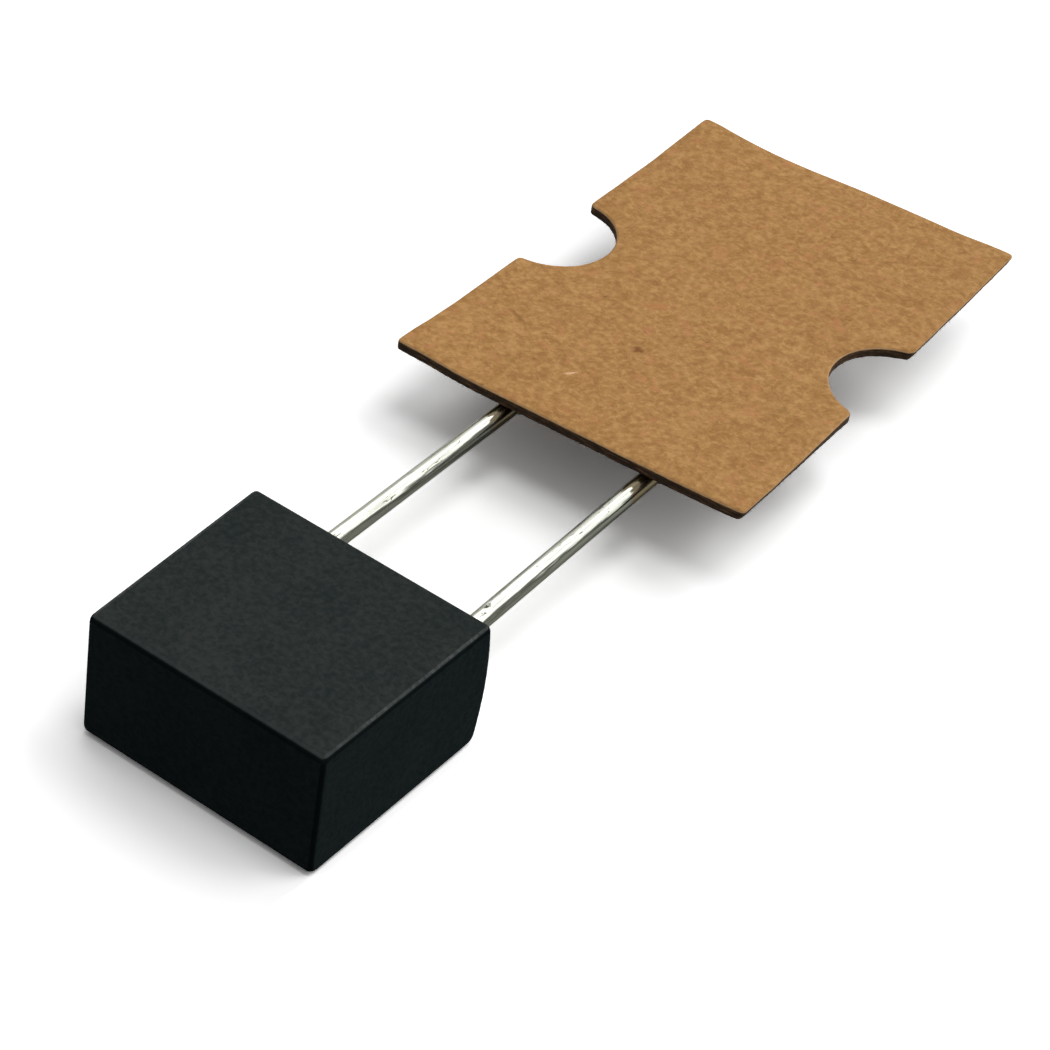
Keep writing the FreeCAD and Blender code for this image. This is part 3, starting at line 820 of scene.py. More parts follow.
@dataclass
class WireTree:
    """The rule that turns a route into round wire, with an optional small nick in its surface."""

    tree: Tree = field(init=False)

    def __post_init__(self) -> None:
        """Builds the tree."""
        tree = Tree("round_wire", {
            "Wire radius": "NodeSocketFloat",
            "Bend radius": "NodeSocketFloat",
            "Step": "NodeSocketFloat",
            "Sides": "NodeSocketInt",
            "Nick place": "NodeSocketVector",
            "Nick reach": "NodeSocketFloat",
            "Nick depth": "NodeSocketFloat",
            "Material": "NodeSocketMaterial",
        })
        bent = tree.step("GeometryNodeFilletCurve", {"mode": "POLY"}, Curve=tree.start, Count=8,
                         Radius=tree.given("Bend radius"), Limit_Radius=True)
        even = tree.step("GeometryNodeResampleCurve", {"mode": "LENGTH"}, Curve=bent, Length=tree.given("Step"))
        ring = tree.step("GeometryNodeCurvePrimitiveCircle", {"mode": "RADIUS"}, Resolution=tree.given("Sides"),
                         Radius=tree.given("Wire radius"))
        wire = tree.step("GeometryNodeCurveToMesh", Curve=even, Profile_Curve=ring, Fill_Caps=True)
        place = tree.step("GeometryNodeInputPosition")
        far = tree.step("ShaderNodeVectorMath", {"operation": "DISTANCE"}, i0=place, i1=tree.given("Nick place"))
        dent = tree.step("ShaderNodeMapRange", {"interpolation_type": "SMOOTHSTEP"}, Value=far.outputs["Value"],
                         From_Min=0.0, From_Max=tree.given("Nick reach"),
                         To_Min=tree.given("Nick depth"), To_Max=0.0)
        out = tree.step("GeometryNodeInputNormal")
        move = tree.step("ShaderNodeVectorMath", {"operation": "SCALE"}, i0=out, Scale=dent)
        nicked = tree.step("GeometryNodeSetPosition", Geometry=wire, Offset=move)
        tree.close(tree.step("GeometryNodeSetShadeSmooth", Geometry=nicked))
        self.tree = tree


@dataclass
class Lead:
    """One tinned lead: a round wire that runs under the card, with a flattened notched end in the case."""

    name: str
    side: int
    pitch: float = 5.08
    diameter: float = 0.6
    axis_z: float = 2.165
    root_y: float = -0.17
    exit_y: float = 4.49
    card_y: float = 13.69
    bend_before_card: float = 0.3
    end_y: float = 26.19
    lean: float = 1.5
    bend_radius: float = 3.0
    head_root_y: float = -0.02
    head_length: float = 1.8
    head_width: float = 1.0
    head_thickness: float = 0.3
    head_corner: float = 0.08
    notch_radius: float = 0.26
    nick_place: Place = (0.0, 0.0, 0.0)
    nick_reach: float = 0.17
    nick_depth: float = 0.0
    sides: int = 48
    step: float = 0.1

    def route(self) -> bpy.types.Object:
        """Makes the line that the wire follows, as straight runs.

        Returns:
            The curve object.
        """
        x = self.side * self.pitch / 2
        level = self.axis_z + x * math.tan(math.radians(self.lean))
        stops = (
            (x, self.root_y, self.axis_z),
            (x, self.exit_y, self.axis_z),
            (x, self.card_y - self.bend_before_card, level),
            (x, self.end_y, level),
        )
        curve = bpy.data.curves.new(f"{self.name}_route", "CURVE")
        curve.dimensions = "3D"
        spline = curve.splines.new("POLY")
        spline.points.add(len(stops) - 1)
        for point, stop in zip(spline.points, stops):
            point.co = (*(Vector(stop) * MM), 1.0)
        line = bpy.data.objects.new(curve.name, curve)
        bpy.context.scene.collection.objects.link(line)
        return line

    def head_corner_round(self, y: float, z: float, start: int) -> list[Point]:
        """Gives one rounded corner of the flattened end.

        Args:
            y: The round's middle along the wire.
            z: The round's middle above the wire's axis.
            start: Where the round starts, in degrees.

        Returns:
            The points, as Y and Z.
        """
        turns = (math.radians(start + 22.5 * step) for step in range(5))
        return [(y + self.head_corner * math.cos(t), z + self.head_corner * math.sin(t)) for t in turns]

    def head_outline(self) -> list[Point]:
        """Gives the flattened end's outline from the side.

        Returns:
            The points, as Y and Z about the wire's axis.
        """
        tip = self.head_root_y - self.head_length
        middle = self.head_root_y - self.head_length / 2
        root_y, tip_y = self.head_root_y - self.head_corner, tip + self.head_corner
        high = self.head_width / 2 - self.head_corner
        notch = self.notch_radius
        turns = (math.radians(90 - 15 * step) for step in range(13))
        return [
            *self.head_corner_round(root_y, high, 0),
            *self.head_corner_round(tip_y, high, 90),
            (tip, notch),
            *((middle + notch * math.cos(t), notch * math.sin(t)) for t in turns),
            (tip, -notch),
            *self.head_corner_round(tip_y, -high, 180),
            *self.head_corner_round(root_y, -high, 270),
        ]

    def head(self) -> bpy.types.Object:
        """Makes the flattened end as a plate.

        Returns:
            The plate.
        """
        x = self.side * self.pitch / 2
        outline = self.head_outline()
        count = len(outline)
        sides = (x - self.head_thickness / 2, x + self.head_thickness / 2)
        points = [Vector((side, y, self.axis_z + z)) for side in sides for y, z in outline]
        faces: list[tuple[int, ...]] = [tuple(reversed(range(count))), tuple(range(count, 2 * count))]
        faces += [(i, (i + 1) % count, count + (i + 1) % count, count + i) for i in range(count)]
        return mesh_piece(f"{self.name}_head", points, faces)

    def build(self, rule: WireTree, material: bpy.types.Material) -> bpy.types.Object:
        """Makes the wire, joins the head to it and dresses it.

        Args:
            rule: The tree that makes round wire.
            material: The tinned finish.

        Returns:
            The finished lead.
        """
        wire = rule.tree.run(self.route(), f"{self.name}_round", {
            "Wire radius": self.diameter / 2 * MM,
            "Bend radius": self.bend_radius * MM,
            "Step": self.step * MM,
            "Sides": self.sides,
            "Nick place": tuple(Vector(self.nick_place) * MM),
            "Nick reach": self.nick_reach * MM,
            "Nick depth": -self.nick_depth * MM,
            "Material": material,
        })
        head = self.head()
        join = wire.modifiers.new("head", "BOOLEAN")
        join.operation = "UNION"
        join.solver = "EXACT"
        join.object = head
        lead = frozen(wire, f"{self.name}_wire")
        bpy.data.objects.remove(head)
        lead.data.shade_smooth()
        lead.data.set_sharp_from_angle(angle=math.radians(35))
        settle(lead, Slot.WIRE, material, self.name)
        return lead


@dataclass(frozen=True)
class Curl:
    """A place where the card bends away from its plane: how far, and how quickly it fades."""

    u: float
    v: float
    reach_u: float
    reach_v: float
    lift: float

    def at(self, u: float, v: float) -> float:
        """Gives the bend at a place on the card.

        Args:
            u: The place across the card.
            v: The place along it from the near edge.

        Returns:
            The height, in millimetres.
        """
        away = math.hypot((u - self.u) / self.reach_u, (v - self.v) / self.reach_v)
        return self.lift * smooth(1.0 - away)


@dataclass
class CardPlane:
    """Where the card lies, how it curls, and the outline that it shares with the tape."""

    edge_y: float = 13.69
    axis_z: float = 2.165
    clearance: float = 0.31
    lean: float = 1.5
    turn: float = 1.7
    left_near: float = 6.55
    left_far: float = 6.12
    right_near: float = 6.0
    right_far: float = 5.98
    width: float = 18.0
    hole_radius: float = 2.05
    hole_half_pitch: float = 6.35
    hole_v: float = 8.68
    lead_half_pitch: float = 2.54
    curls: tuple[Curl, ...] = (
        Curl(-6.55, 0.0, 3.0, 3.5, 0.17),
        Curl(5.9, 0.0, 2.4, 3.0, 0.05),
        Curl(-6.12, 18.0, 2.4, 4.0, 0.13),
        Curl(5.87, 18.0, 2.4, 3.6, 0.07),
        Curl(-2.6, 18.0, 3.4, 3.6, -0.09),
    )

    def matrix(self) -> Matrix:
        """Gives the card's own axes, from the middle of its near edge on its underside.

        Returns:
            The matrix from the card's axes to the part's.
        """
        lean, turn = math.radians(self.lean), math.radians(self.turn)
        tilt = Matrix.Rotation(-lean, 4, "Y") @ Matrix.Rotation(turn, 4, "Z")
        return Matrix.Translation((0.0, self.edge_y, self.axis_z + self.clearance / math.cos(lean))) @ tilt

    def side(self, way: int, v: float) -> float:
        """Gives where one of the two slightly askew cuts runs.

        Args:
            way: 1 for the right cut, -1 for the left one.
            v: The distance from the near edge.

        Returns:
            The place across the card.
        """
        near, far = (self.right_near, self.right_far) if way > 0 else (-self.left_near, -self.left_far)
        return near + (far - near) * v / self.width

    def lift(self, u: float, v: float) -> float:
        """Gives how far the card is bent up at a place."""
        return sum(curl.at(u, v) for curl in self.curls)

    def outline(self, low: float, high: float, spacing: float) -> list[Point]:
        """Gives the outline of a sheet that is cut through the two feed holes.

        Args:
            low: Where the sheet starts, from the card's near edge.
            high: Where it ends.
            spacing: The distance between points.

        Returns:
            The points, anticlockwise.
        """
        stops: list[tuple[Point, Optional[Point]]] = []
        for way in (1, -1):
            hole = (way * self.hole_half_pitch, self.hole_v)
            reach = math.sqrt(self.hole_radius ** 2 - (hole[0] - self.side(way, self.hole_v)) ** 2)
            first, last = (low, high) if way > 0 else (high, low)
            levels = (first, self.hole_v - way * reach, self.hole_v + way * reach, last)
            stops += [((self.side(way, v), v), hole if k == 1 else None) for k, v in enumerate(levels)]
        points: list[Point] = []
        for index, (start, centre) in enumerate(stops):
            points += self.walk(start, stops[(index + 1) % len(stops)][0], centre, spacing)
        return points

    def walk(self, start: Point, end: Point, centre: Optional[Point], spacing: float) -> list[Point]:
        """Gives evenly spaced points along one side of the outline, its end left out.

        Args:
            start: The side's first point.
            end: Its last point.
            centre: The middle of the feed hole that it follows clockwise, or none for a straight side.
            spacing: The distance between points.

        Returns:
            The points.
        """
        if centre is None:
            steps = max(1, round(math.dist(start, end) / spacing))
            return [tuple(a + (b - a) * i / steps for a, b in zip(start, end)) for i in range(steps)]
        first = math.atan2(start[1] - centre[1], start[0] - centre[0])
        last = math.atan2(end[1] - centre[1], end[0] - centre[0])
        while last > first:
            last -= 2 * math.pi
        steps = max(1, round((first - last) * self.hole_radius / spacing))
        turns = (first + (last - first) * i / steps for i in range(steps))
        radius = self.hole_radius
        return [(centre[0] + radius * math.cos(t), centre[1] + radius * math.sin(t)) for t in turns]

    def inside(self, u: float, v: float, low: float, high: float, margin: float) -> bool:
        """Tells whether a place lies on a sheet, away from its cut edges.

        Args:
            u: The place across the card.
            v: The place along it.
            low: Where the sheet starts.
            high: Where it ends.
            margin: How far from the edges it must be.

        Returns:
            True if it does.
        """
        if not (self.side(-1, v) + margin < u < self.side(1, v) - margin and low + margin < v < high - margin):
            return False
        holes = ((side * self.hole_half_pitch, self.hole_v) for side in (-1, 1))
        return all(math.dist((u, v), hole) > self.hole_radius + margin for hole in holes)


def softened(points: list[Point], passes: int, sharp: Optional[Point] = None, free: int = 7,
             reach: float = 0.5) -> list[Point]:
    """Rounds the corners of a closed outline a little.

    Args:
        points: The outline's points.
        passes: How often each point moves halfway to its neighbours' middle.
        sharp: A corner that only the first passes touch.
        free: How many passes touch that corner.
        reach: How far from it the points are held.

    Returns:
        The rounder outline.
    """
    count = len(points)
    for turn in range(passes):
        held = [turn >= free and sharp is not None and math.dist(point, sharp) < reach for point in points]
        points = [points[i] if held[i] else
                  tuple(points[i][k] / 2 + (points[i - 1][k] + points[(i + 1) % count][k]) / 4 for k in (0, 1))
                  for i in range(count)]
    return points


def outward(points: list[Point]) -> list[Point]:
    """Gives the direction away from a closed outline at each of its points.

    Args:
        points: The outline's points, anticlockwise.

    Returns:
        A direction of length 1 for each point.
    """
    found: list[Point] = []
    count = len(points)
    for i in range(count):
        du = points[(i + 1) % count][0] - points[i - 1][0]
        dv = points[(i + 1) % count][1] - points[i - 1][1]
        length = math.hypot(du, dv)
        found.append((dv / length, -du / length))
    return found


@dataclass
class CarrierCard:
    """One pitch of kraft card, with rolled-over upper edges and rough cut walls."""

    plane: CardPlane
    thickness: float = 0.36
    spacing: float = 0.055
    grid: float = 0.34
    wobble: float = 0.018
    wobble_rate: float = 0.9
    roughness: float = 0.014
    roughness_rate: float = 7.0
    shuffle: float = 0.25
    shuffle_rate: float = 3.1
    slant: float = 0.13
    slant_reach: float = 0.6
    margin: float = 0.36
    # how far in from the cut each row lies, its height as a share of the thickness, and how much it is cut edge
    rows: tuple[tuple[float, float, float], ...] = (
        (0.1, 1.0, 0.0), (0.06, 0.985, 0.0), (0.03, 0.945, 0.05), (0.01, 0.88, 0.35), (0.0, 0.79, 0.9),
        (0.0, 0.68, 1.0), (0.004, 0.57, 1.0), (0.0, 0.46, 1.0), (0.006, 0.35, 1.0), (0.0, 0.24, 1.0),
        (0.004, 0.13, 1.0), (0.016, 0.04, 1.0), (0.06, 0.0, 0.6),
    )

    def build(self, material: bpy.types.Material) -> bpy.types.Object:
        """Makes the card and dresses it.

        Args:
            material: The kraft finish.

        Returns:
            The finished card.
        """
        plane = self.plane
        ring = softened(plane.outline(0.0, plane.width, self.spacing), 14, (-plane.left_near, 0.0))
        away = outward(ring)
        shifts = [self.wobble * self.uneven(u, v, self.wobble_rate, 4.0) for u, v in ring]
        ring = [(u + du * shift, v + dv * shift) for (u, v), (du, dv), shift in zip(ring, away, shifts)]
        matrix = plane.matrix()
        points: list[Vector] = []
        rim: list[float] = []
        for inset, share, cut in self.rows:
            for (u, v), (du, dv) in zip(ring, away):
                h = share * self.thickness
                rough = cut * self.roughness * self.uneven(u, v, self.roughness_rate, share * 9.0)
                undercut = (1.0 - share) * self.undercut(u, v)
                points.append(self.at(matrix, u - du * (inset - rough) - undercut, v - dv * (inset - rough), h))
                rim.append(cut)
        inner = self.inner_points()
        for share in (1.0, 0.0):
            for u, v in inner:
                points.append(self.at(matrix, u, v, share * self.thickness))
                rim.append(0.0)
        card = mesh_piece("kraft_carrier_card", points, self.faces(ring, away, inner), sharp=75.0)
        store = card.data.attributes.new(RIM, "FLOAT", "POINT")
        store.data.foreach_set("value", rim)
        settle(card, Slot.CARD, material, "carrier_card")
        return card

    def uneven(self, u: float, v: float, rate: float, layer: float) -> float:
        """Gives a smooth irregular number for a place on the card.

        Args:
            u: The place across the card.
            v: The place along it.
            rate: How many swings there are in each millimetre.
            layer: Which pattern is read.

        Returns:
            A number between about -1 and 1.
        """
        return noise.noise(Vector((u * rate, v * rate, layer)))

    def undercut(self, u: float, v: float) -> float:
        """Gives how far the slanted right cut runs in under the card.

        Args:
            u: The place across the card.
            v: The place along it.

        Returns:
            The distance at the card's underside.
        """
        corner = self.plane.hole_v - self.plane.hole_radius
        share = 1.0 - (v / corner) ** 2 if v < corner else 1.0
        return self.slant * share * smooth(1.0 - (self.plane.side(1, v) - u) / self.slant_reach)

    def at(self, matrix: Matrix, u: float, v: float, h: float) -> Vector:
        """Gives a place on the bent card.

        Args:
            matrix: The card's own axes.
            u: The place across the card.
            v: The place along it.
            h: The height above its underside.

        Returns:
            The place in the part's frame, in millimetres.
        """
        return matrix @ Vector((u, v, h + self.plane.lift(u, v)))

    def inner_points(self) -> list[Point]:
        """Gives the points between the cut edges, on a slightly shuffled grid.

        Returns:
            The points.
        """
        plane = self.plane
        found: list[Point] = []
        for i in range(round((plane.left_near + plane.right_near) / self.grid) + 1):
            for j in range(round(plane.width / self.grid) + 1):
                u, v = i * self.grid - plane.left_near, j * self.grid
                u += self.shuffle * self.grid * self.uneven(u, v, self.shuffle_rate, 0.5)
                v += self.shuffle * self.grid * self.uneven(u, v, self.shuffle_rate, 7.5)
                if plane.inside(u, v, 0.0, plane.width, self.margin):
                    found.append((u, v))
        return found

    def faces(self, ring: list[Point], away: list[Point], inner: list[Point]) -> list[tuple[int, ...]]:
        """Joins the rows into walls and closes them with the two faces of the card.

        Args:
            ring: The outline.
            away: The direction away from it at each point.
            inner: The points between the cut edges.

        Returns:
            The faces.
        """
        count = len(ring)
        inset = self.rows[0][0]
        innermost = [(u - du * inset, v - dv * inset) for (u, v), (du, dv) in zip(ring, away)]
        last = (len(self.rows) - 1) * count
        upper = len(self.rows) * count
        lower = upper + len(inner)
        faces: list[tuple[int, ...]] = []
        for triangle in fill(innermost, inner):
            faces.append(tuple(k if k < count else upper + k - count for k in triangle))
            faces.append(tuple(last + k if k < count else lower + k - count for k in reversed(triangle)))
        for row in range(len(self.rows) - 1):
            for i in range(count):
                j = (i + 1) % count
                a, b = row * count, (row + 1) * count
                faces.append((a + i, b + i, b + j, a + j))
        return faces


@dataclass
class HoldDownTape:
    """The thin tape under the card, which rises over each lead in a long hump."""

    plane: CardPlane
    start: float = 0.8
    width: float = 13.0
    thickness: float = 0.1
    inset: float = 0.2
    gap: float = 0.02
    lap: float = 0.002
    lead_radius: float = 0.3
    clearance: float = 0.31
    flank: float = 60.0
    spacing: float = 0.09
    grid: float = 0.45
    margin: float = 0.12
    # where the points lie beside each lead, and how far from it the plain grid begins
    beside: tuple[float, ...] = (0.0, 0.12, 0.22, 0.28, 0.37, 0.46, 0.55, 0.665, 0.76)
    beside_reach: float = 0.85

    def hump(self, across: float, radius: float) -> float:
        """Gives how far a sheet stands below the card beside a lead.

        Args:
            across: The distance from the lead's middle.
            radius: The sheet's radius about the lead.

        Returns:
            The depth, 0 where the sheet lies on the card.
        """
        flank = math.radians(self.flank)
        touch = radius * math.sin(flank)
        if abs(across) < touch:
            return self.clearance + math.sqrt(radius ** 2 - across ** 2)
        depth = self.clearance + radius * math.cos(flank) - (abs(across) - touch) * math.tan(flank)
        return max(depth, 0.0)

    def at(self, matrix: Matrix, u: float, v: float, outer: bool) -> Vector:
        """Gives a place on one side of the tape.

        Args:
            matrix: The card's own axes.
            u: The place across the card.
            v: The place along it.
            outer: True for the side away from the card.

        Returns:
            The place in the part's frame, in millimetres.
        """
        turn = math.radians(self.plane.turn)
        across = u * math.cos(turn) - v * math.sin(turn)
        beside = min((across - self.plane.lead_half_pitch, across + self.plane.lead_half_pitch), key=abs)
        inner_depth = self.hump(beside, self.lead_radius + self.gap)
        outer_depth = max(self.hump(beside, self.lead_radius + self.gap + self.thickness), self.thickness)
        depth = outer_depth if outer else inner_depth + self.lap
        return matrix @ Vector((u, v, self.plane.lift(u, v) - depth))

    def inner_points(self, plane: CardPlane, end: float) -> list[Point]:
        """Gives the points inside the tape's outline, in lines along the leads, closer beside each one.

        Args:
            plane: The plane with the tape's outline.
            end: Where the tape ends.

        Returns:
            The points.
        """
        turn = math.radians(plane.turn)
        leads = (-plane.lead_half_pitch, plane.lead_half_pitch)
        lines = [k * self.grid for k in range(-16, 17)]
        lines = [line for line in lines if min(abs(line - lead) for lead in leads) > self.beside_reach]
        lines += [lead + way * d for lead in leads for d in self.beside for way in (-1, 1) if d or way > 0]
        inner: list[Point] = []
        for across in lines:
            for j in range(round(plane.width / self.grid) + 2):
                along = j * self.grid
                u = across * math.cos(turn) + along * math.sin(turn)
                v = along * math.cos(turn) - across * math.sin(turn)
                if plane.inside(u, v, self.start, end, self.margin):
                    inner.append((u, v))
        return inner

    def build(self, material: bpy.types.Material) -> bpy.types.Object:
        """Makes the tape and dresses it.

        Args:
            material: The tape's finish.

        Returns:
            The finished tape.
        """
        plane = replace(self.plane, left_near=self.plane.left_near - self.inset,
                        left_far=self.plane.left_far - self.inset, right_near=self.plane.right_near - self.inset,
                        right_far=self.plane.right_far - self.inset, hole_radius=self.plane.hole_radius + self.inset)
        end = self.start + self.width
        ring = softened(plane.outline(self.start, end, self.spacing), 2)
        inner = self.inner_points(plane, end)
        matrix = plane.matrix()
        flat = [*ring, *inner]
        total, count = len(flat), len(ring)
        points = [self.at(matrix, u, v, outer) for outer in (False, True) for u, v in flat]
        faces: list[tuple[int, ...]] = []
        for triangle in fill(ring, inner):
            faces.append(triangle)
            faces.append(tuple(total + k for k in reversed(triangle)))
        for i in range(count):
            j = (i + 1) % count
            faces.append((i, total + i, total + j, j))
        tape = mesh_piece("hold_down_paper_tape", points, faces, sharp=50.0)
        settle(tape, Slot.TAPE, material, "hold_down_tape")
        return tape


@dataclass
class Fibres:
    """Loose paper fibres that stand out of the card's cut edges or lie on its face."""

    name: str
    on_rim: bool
    density: float
    length: float
    radius: float
    least_tilt: float
    most_tilt: float
    seed: int
    stem: tuple[Place, Place, Place] = ((0.0, 0.0, -0.1), (0.18, 0.05, 0.5), (0.05, 0.22, 1.0))
    least_scale: float = 0.35
    spin_seed: int = 7
    scale_seed: int = 11

    def tree(self) -> Tree:
        """Builds the rule that scatters bent fibres over a card.

        Returns:
            The tree.
        """
        tree = Tree(f"{self.name}_rule", {
            "Density": "NodeSocketFloat",
            "Length": "NodeSocketFloat",
            "Radius": "NodeSocketFloat",
            "Least tilt": "NodeSocketFloat",
            "Most tilt": "NodeSocketFloat",
            "Seed": "NodeSocketInt",
            "Material": "NodeSocketMaterial",
        })
        rim = tree.step("GeometryNodeInputNamedAttribute", {"data_type": "FLOAT"}, Name=RIM)
        limit = 0.95 if self.on_rim else 0.02
        chosen = tree.step("FunctionNodeCompare", {
            "data_type": "FLOAT", "operation": "GREATER_THAN" if self.on_rim else "LESS_THAN",
        }, i0=rim, i1=limit)
        normal = tree.step("GeometryNodeInputNormal")
        height = tree.step("ShaderNodeSeparateXYZ", Vector=normal)
        upward = tree.step("FunctionNodeCompare", {"data_type": "FLOAT", "operation": "GREATER_THAN"},
                           i0=height.outputs["Z"], i1=-2.0 if self.on_rim else 0.5)
        both = tree.step("FunctionNodeBooleanMath", {"operation": "AND"}, i0=chosen, i1=upward)
        spots = tree.step("GeometryNodeDistributePointsOnFaces", {"distribute_method": "RANDOM"},
                          Mesh=tree.start, Selection=both, Density=tree.given("Density"), Seed=tree.given("Seed"))
        start, middle, end = self.stem
        stem = tree.step("GeometryNodeCurveQuadraticBezier", Resolution=5, Start=start, Middle=middle, End=end)
        size = tree.step("ShaderNodeCombineXYZ", X=tree.given("Length"), Y=tree.given("Length"),
                         Z=tree.given("Length"))
        long = tree.step("GeometryNodeTransform", Geometry=stem, Scale=size)
        ring = tree.step("GeometryNodeCurvePrimitiveCircle", {"mode": "RADIUS"}, Resolution=4,
                         Radius=tree.given("Radius"))
        fibre = tree.step("GeometryNodeCurveToMesh", Curve=long, Profile_Curve=ring, Fill_Caps=True)
        facing = tree.step("FunctionNodeAlignRotationToVector", {"axis": "Z"}, Vector=spots.outputs["Normal"])
        tilt = tree.step("FunctionNodeRandomValue", {"data_type": "FLOAT"}, i2=tree.given("Least tilt"),
                         i3=tree.given("Most tilt"), Seed=tree.given("Seed"))
        spin = tree.step("FunctionNodeRandomValue", {"data_type": "FLOAT"}, i2=0.0, i3=2 * math.pi,
                         Seed=self.spin_seed)
        bend = tree.step("ShaderNodeCombineXYZ", X=tilt.outputs[1], Y=0.0, Z=0.0)
        roll = tree.step("ShaderNodeCombineXYZ", X=0.0, Y=0.0, Z=spin.outputs[1])
        first = tree.step("FunctionNodeRotateRotation", {"rotation_space": "LOCAL"}, Rotation=facing, i1=roll)
        second = tree.step("FunctionNodeRotateRotation", {"rotation_space": "LOCAL"}, Rotation=first, i1=bend)
        scale = tree.step("FunctionNodeRandomValue", {"data_type": "FLOAT"}, i2=self.least_scale, i3=1.0,
                          Seed=self.scale_seed)
        placed = tree.step("GeometryNodeInstanceOnPoints", Points=spots.outputs["Points"], Instance=fibre,
                           Rotation=second, Scale=scale.outputs[1])
        tree.close(placed)
        return tree

    def build(self, card: bpy.types.Object, material: bpy.types.Material) -> bpy.types.Object:
        """Scatters the fibres over a card and dresses them.

        Args:
            card: The finished card. A copy of it is used up.
            material: The kraft finish.

        Returns:
            All the fibres as one piece.
        """
        copy = bpy.data.objects.new(f"{self.name}_ground", card.data.copy())
        bpy.context.scene.collection.objects.link(copy)
        fibres = self.tree().run(copy, self.name, {
            "Density": self.density / MM ** 2,
            "Length": self.length * MM,
            "Radius": self.radius * MM,
            "Least tilt": math.radians(self.least_tilt),
            "Most tilt": math.radians(self.most_tilt),
            "Seed": self.seed,
            "Material": material,
        })
        settle(fibres, Slot.CARD, material)
        return fibres


@dataclass
class Dressing:
    """The material that each CAD node wears where it is shown as it is."""

    finishes: dict[str, bpy.types.Material]

    def dress(self, nodes: dict[str, bpy.types.Object]) -> None:
        """Gives every listed CAD node its material.

        Args:
            nodes: The frame's nodes by name.
        """
        for name, material in self.finishes.items():
            mesh = nodes[name].data
            if not mesh.materials:
                mesh.materials.append(material)
            for index in range(len(mesh.materials)):
                mesh.materials[index] = material
            log.info("%s: CAD node, wears %s", name, material.name)


@dataclass(frozen=True)
class Lamp:
    """A large soft lamp far off."""

    name: str
    strength: float
    spread: float
    azimuth: float
    elevation: float

    def build(self) -> bpy.types.Object:
        """Hangs the lamp, its azimuth counted from +X towards +Y.

        Returns:
            The lamp.
        """
        light = bpy.data.lights.new(self.name, "SUN")
        light.energy = self.strength
        light.angle = math.radians(self.spread)
        lamp = bpy.data.objects.new(self.name, light)
        azimuth, elevation = math.radians(self.azimuth), math.radians(self.elevation)
        towards = Vector((math.cos(azimuth) * math.cos(elevation), math.sin(azimuth) * math.cos(elevation),
                          math.sin(elevation)))
        lamp.rotation_mode = "QUATERNION"
        lamp.rotation_quaternion = towards.to_track_quat("Z", "Y")
        bpy.context.scene.collection.objects.link(lamp)
        return lamp


@dataclass
class Studio:
    """A pale floor, soft lamps over and behind the part, and an even pale sky."""

    floor_half: float = 700.0
    floor_gap: float = 0.01
    floor_white: Colour = (1.38, 1.38, 1.38)
    floor_dim: Colour = (0.03, 0.03, 0.03)
    world_white: float = 1.0
    world_dim: float = 0.33
    lamps: tuple[Lamp, ...] = (
        Lamp("overhead_lamp", 0.62, 24.0, 0.0, 84.0),
        Lamp("back_lamp", 1.1, 10.0, 87.0, 21.0),
        Lamp("back_right_lamp", 0.57, 24.0, 48.0, 57.0),
        Lamp("right_lamp", 0.5, 48.0, 20.0, 33.0),
        Lamp("back_left_lamp", 0.42, 48.0, 130.0, 45.0),
    )

    def seen(self, tree: bpy.types.NodeTree) -> Socket:
        """Tells camera, mirror and glass rays from the rays that only carry light about.

        Args:
            tree: The node tree to add to.

        Returns:
            The value output, 1 where the surface is seen.
        """
        path = tree.nodes.new("ShaderNodeLightPath")
        result: Socket = path.outputs["Is Camera Ray"]
        for name in ("Is Glossy Ray", "Is Transmission Ray"):
            either = tree.nodes.new("ShaderNodeMath")
            either.operation = "MAXIMUM"
            tree.links.new(result, either.inputs[0])
            tree.links.new(path.outputs[name], either.inputs[1])
            result = either.outputs[0]
        return result

    def floor(self) -> bpy.types.Object:
        """Lays the floor just under the part.

        Returns:
            The floor.
        """
        half = self.floor_half
        points = [Vector((x * half, y * half, -self.floor_gap)) for x, y in ((-1, -1), (1, -1), (1, 1), (-1, 1))]
        floor = mesh_piece("studio_floor", points, [(0, 1, 2, 3)])
        material = bpy.data.materials.new("studio_floor")
        material.use_nodes = True
        tree = material.node_tree
        shader = tree.nodes["Principled BSDF"]
        shader.inputs["Roughness"].default_value = 0.9
        shader.inputs["Specular IOR Level"].default_value = 0.0
        mix = tree.nodes.new("ShaderNodeMix")
        mix.data_type = "RGBA"
        tree.links.new(self.seen(tree), mix.inputs[0])
        mix.inputs[6].default_value = (*self.floor_dim, 1.0)
        mix.inputs[7].default_value = (*self.floor_white, 1.0)
        tree.links.new(mix.outputs[2], shader.inputs["Base Color"])
        floor.data.materials.append(material)
        return floor

    def world(self) -> None:
        """Sets a white world for what is seen and a dim one for what it lights."""
        world = bpy.data.worlds.new("studio")
        bpy.context.scene.world = world
        world.use_nodes = True
        tree = world.node_tree
        background = tree.nodes["Background"]
        background.inputs["Color"].default_value = (1.0, 1.0, 1.0, 1.0)
        strength = tree.nodes.new("ShaderNodeMix")
        strength.data_type = "FLOAT"
        tree.links.new(self.seen(tree), strength.inputs[0])
        strength.inputs[2].default_value = self.world_dim
        strength.inputs[3].default_value = self.world_white
        tree.links.new(strength.outputs[0], background.inputs["Strength"])

    def build(self) -> None:
        """Sets up the floor, the world and the lamps."""
        self.floor()
        self.world()
        for lamp in self.lamps:
            lamp.build()
        log.info("studio: floor, world and %d soft lamps", len(self.lamps))


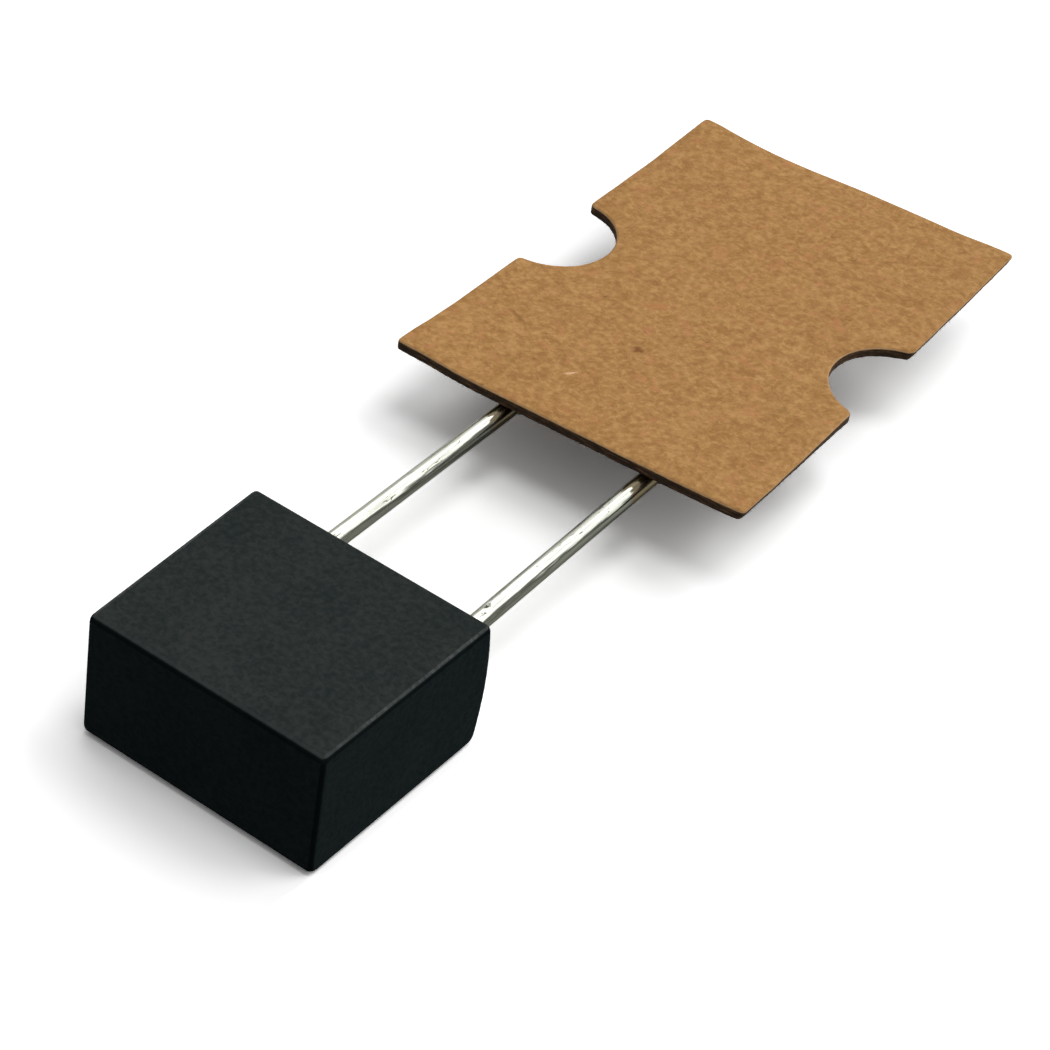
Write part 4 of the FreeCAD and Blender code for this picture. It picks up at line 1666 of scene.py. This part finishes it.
@dataclass(frozen=True)
class Viewpoint:
    """The photograph's camera: where it stands and how it is turned."""

    place: Place = (34.126, -49.931, 59.102)
    azimuth: float = 28.971
    elevation: float = 39.825
    roll: float = 9.973
    lens: float = 104.587
    sensor: float = 36.0

    def build(self) -> bpy.types.Object:
        """Makes the camera and looks through it.

        Returns:
            The camera.
        """
        data = bpy.data.cameras.new("photo_camera")
        data.lens = self.lens
        data.sensor_width = self.sensor
        data.clip_start = 1.0 * MM
        data.clip_end = 10.0
        camera = bpy.data.objects.new("photo_camera", data)
        camera.location = Vector(self.place) * MM
        azimuth, elevation = math.radians(self.azimuth), math.radians(self.elevation)
        back = Vector((math.sin(azimuth) * math.cos(elevation), -math.cos(azimuth) * math.cos(elevation),
                       math.sin(elevation)))
        level = Euler((math.pi / 2 - elevation, 0.0, azimuth)).to_matrix()
        camera.rotation_mode = "QUATERNION"
        camera.rotation_quaternion = (Matrix.Rotation(math.radians(self.roll), 3, back) @ level).to_quaternion()
        bpy.context.scene.collection.objects.link(camera)
        bpy.context.scene.camera = camera
        log.info("camera: azimuth %.1f, elevation %.1f", self.azimuth, self.elevation)
        return camera


def main() -> None:
    """Builds and dresses every piece in order."""
    logging.basicConfig(level=logging.INFO, format="%(name)s: %(message)s")
    bpy.context.scene.view_settings.view_transform = "Standard"
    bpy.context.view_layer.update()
    plastic = BlackPlastic().make()
    tin = TinnedWire().make()
    kraft = KraftCard().make()
    Dressing({
        "case": plastic,
        "base": plastic,
        "element_core": GlassFibreRod().make(),
        "element_winding": SmallMetal("drawn_copper_alloy", (0.8, 0.52, 0.36), (0.6, 0.36, 0.24), 0.25, 9.0).make(),
        **{name: SmallMetal(name, (0.72, 0.72, 0.7), (0.5, 0.5, 0.48), 0.3, 4.0).make()
           for name in ("solder_left", "solder_right")},
    }).dress(frame["nodes"])
    rule = WireTree()
    Lead("lead_left", -1).build(rule, tin)
    Lead("lead_right", 1, nick_place=TinnedWire.nick.place, nick_depth=0.05).build(rule, tin)
    plane = CardPlane()
    card = CarrierCard(plane).build(kraft)
    HoldDownTape(plane).build(AdhesiveTape().make())
    Fibres("cut_edge_fibres", True, 16.0, 0.1, 0.005, 30.0, 80.0, 3).build(card, kraft)
    Fibres("face_fibres", False, 0.5, 0.34, 0.006, 84.0, 89.0, 5).build(card, kraft)
    Studio().build()
    Viewpoint().build()


if __name__ == "__main__":
    main()
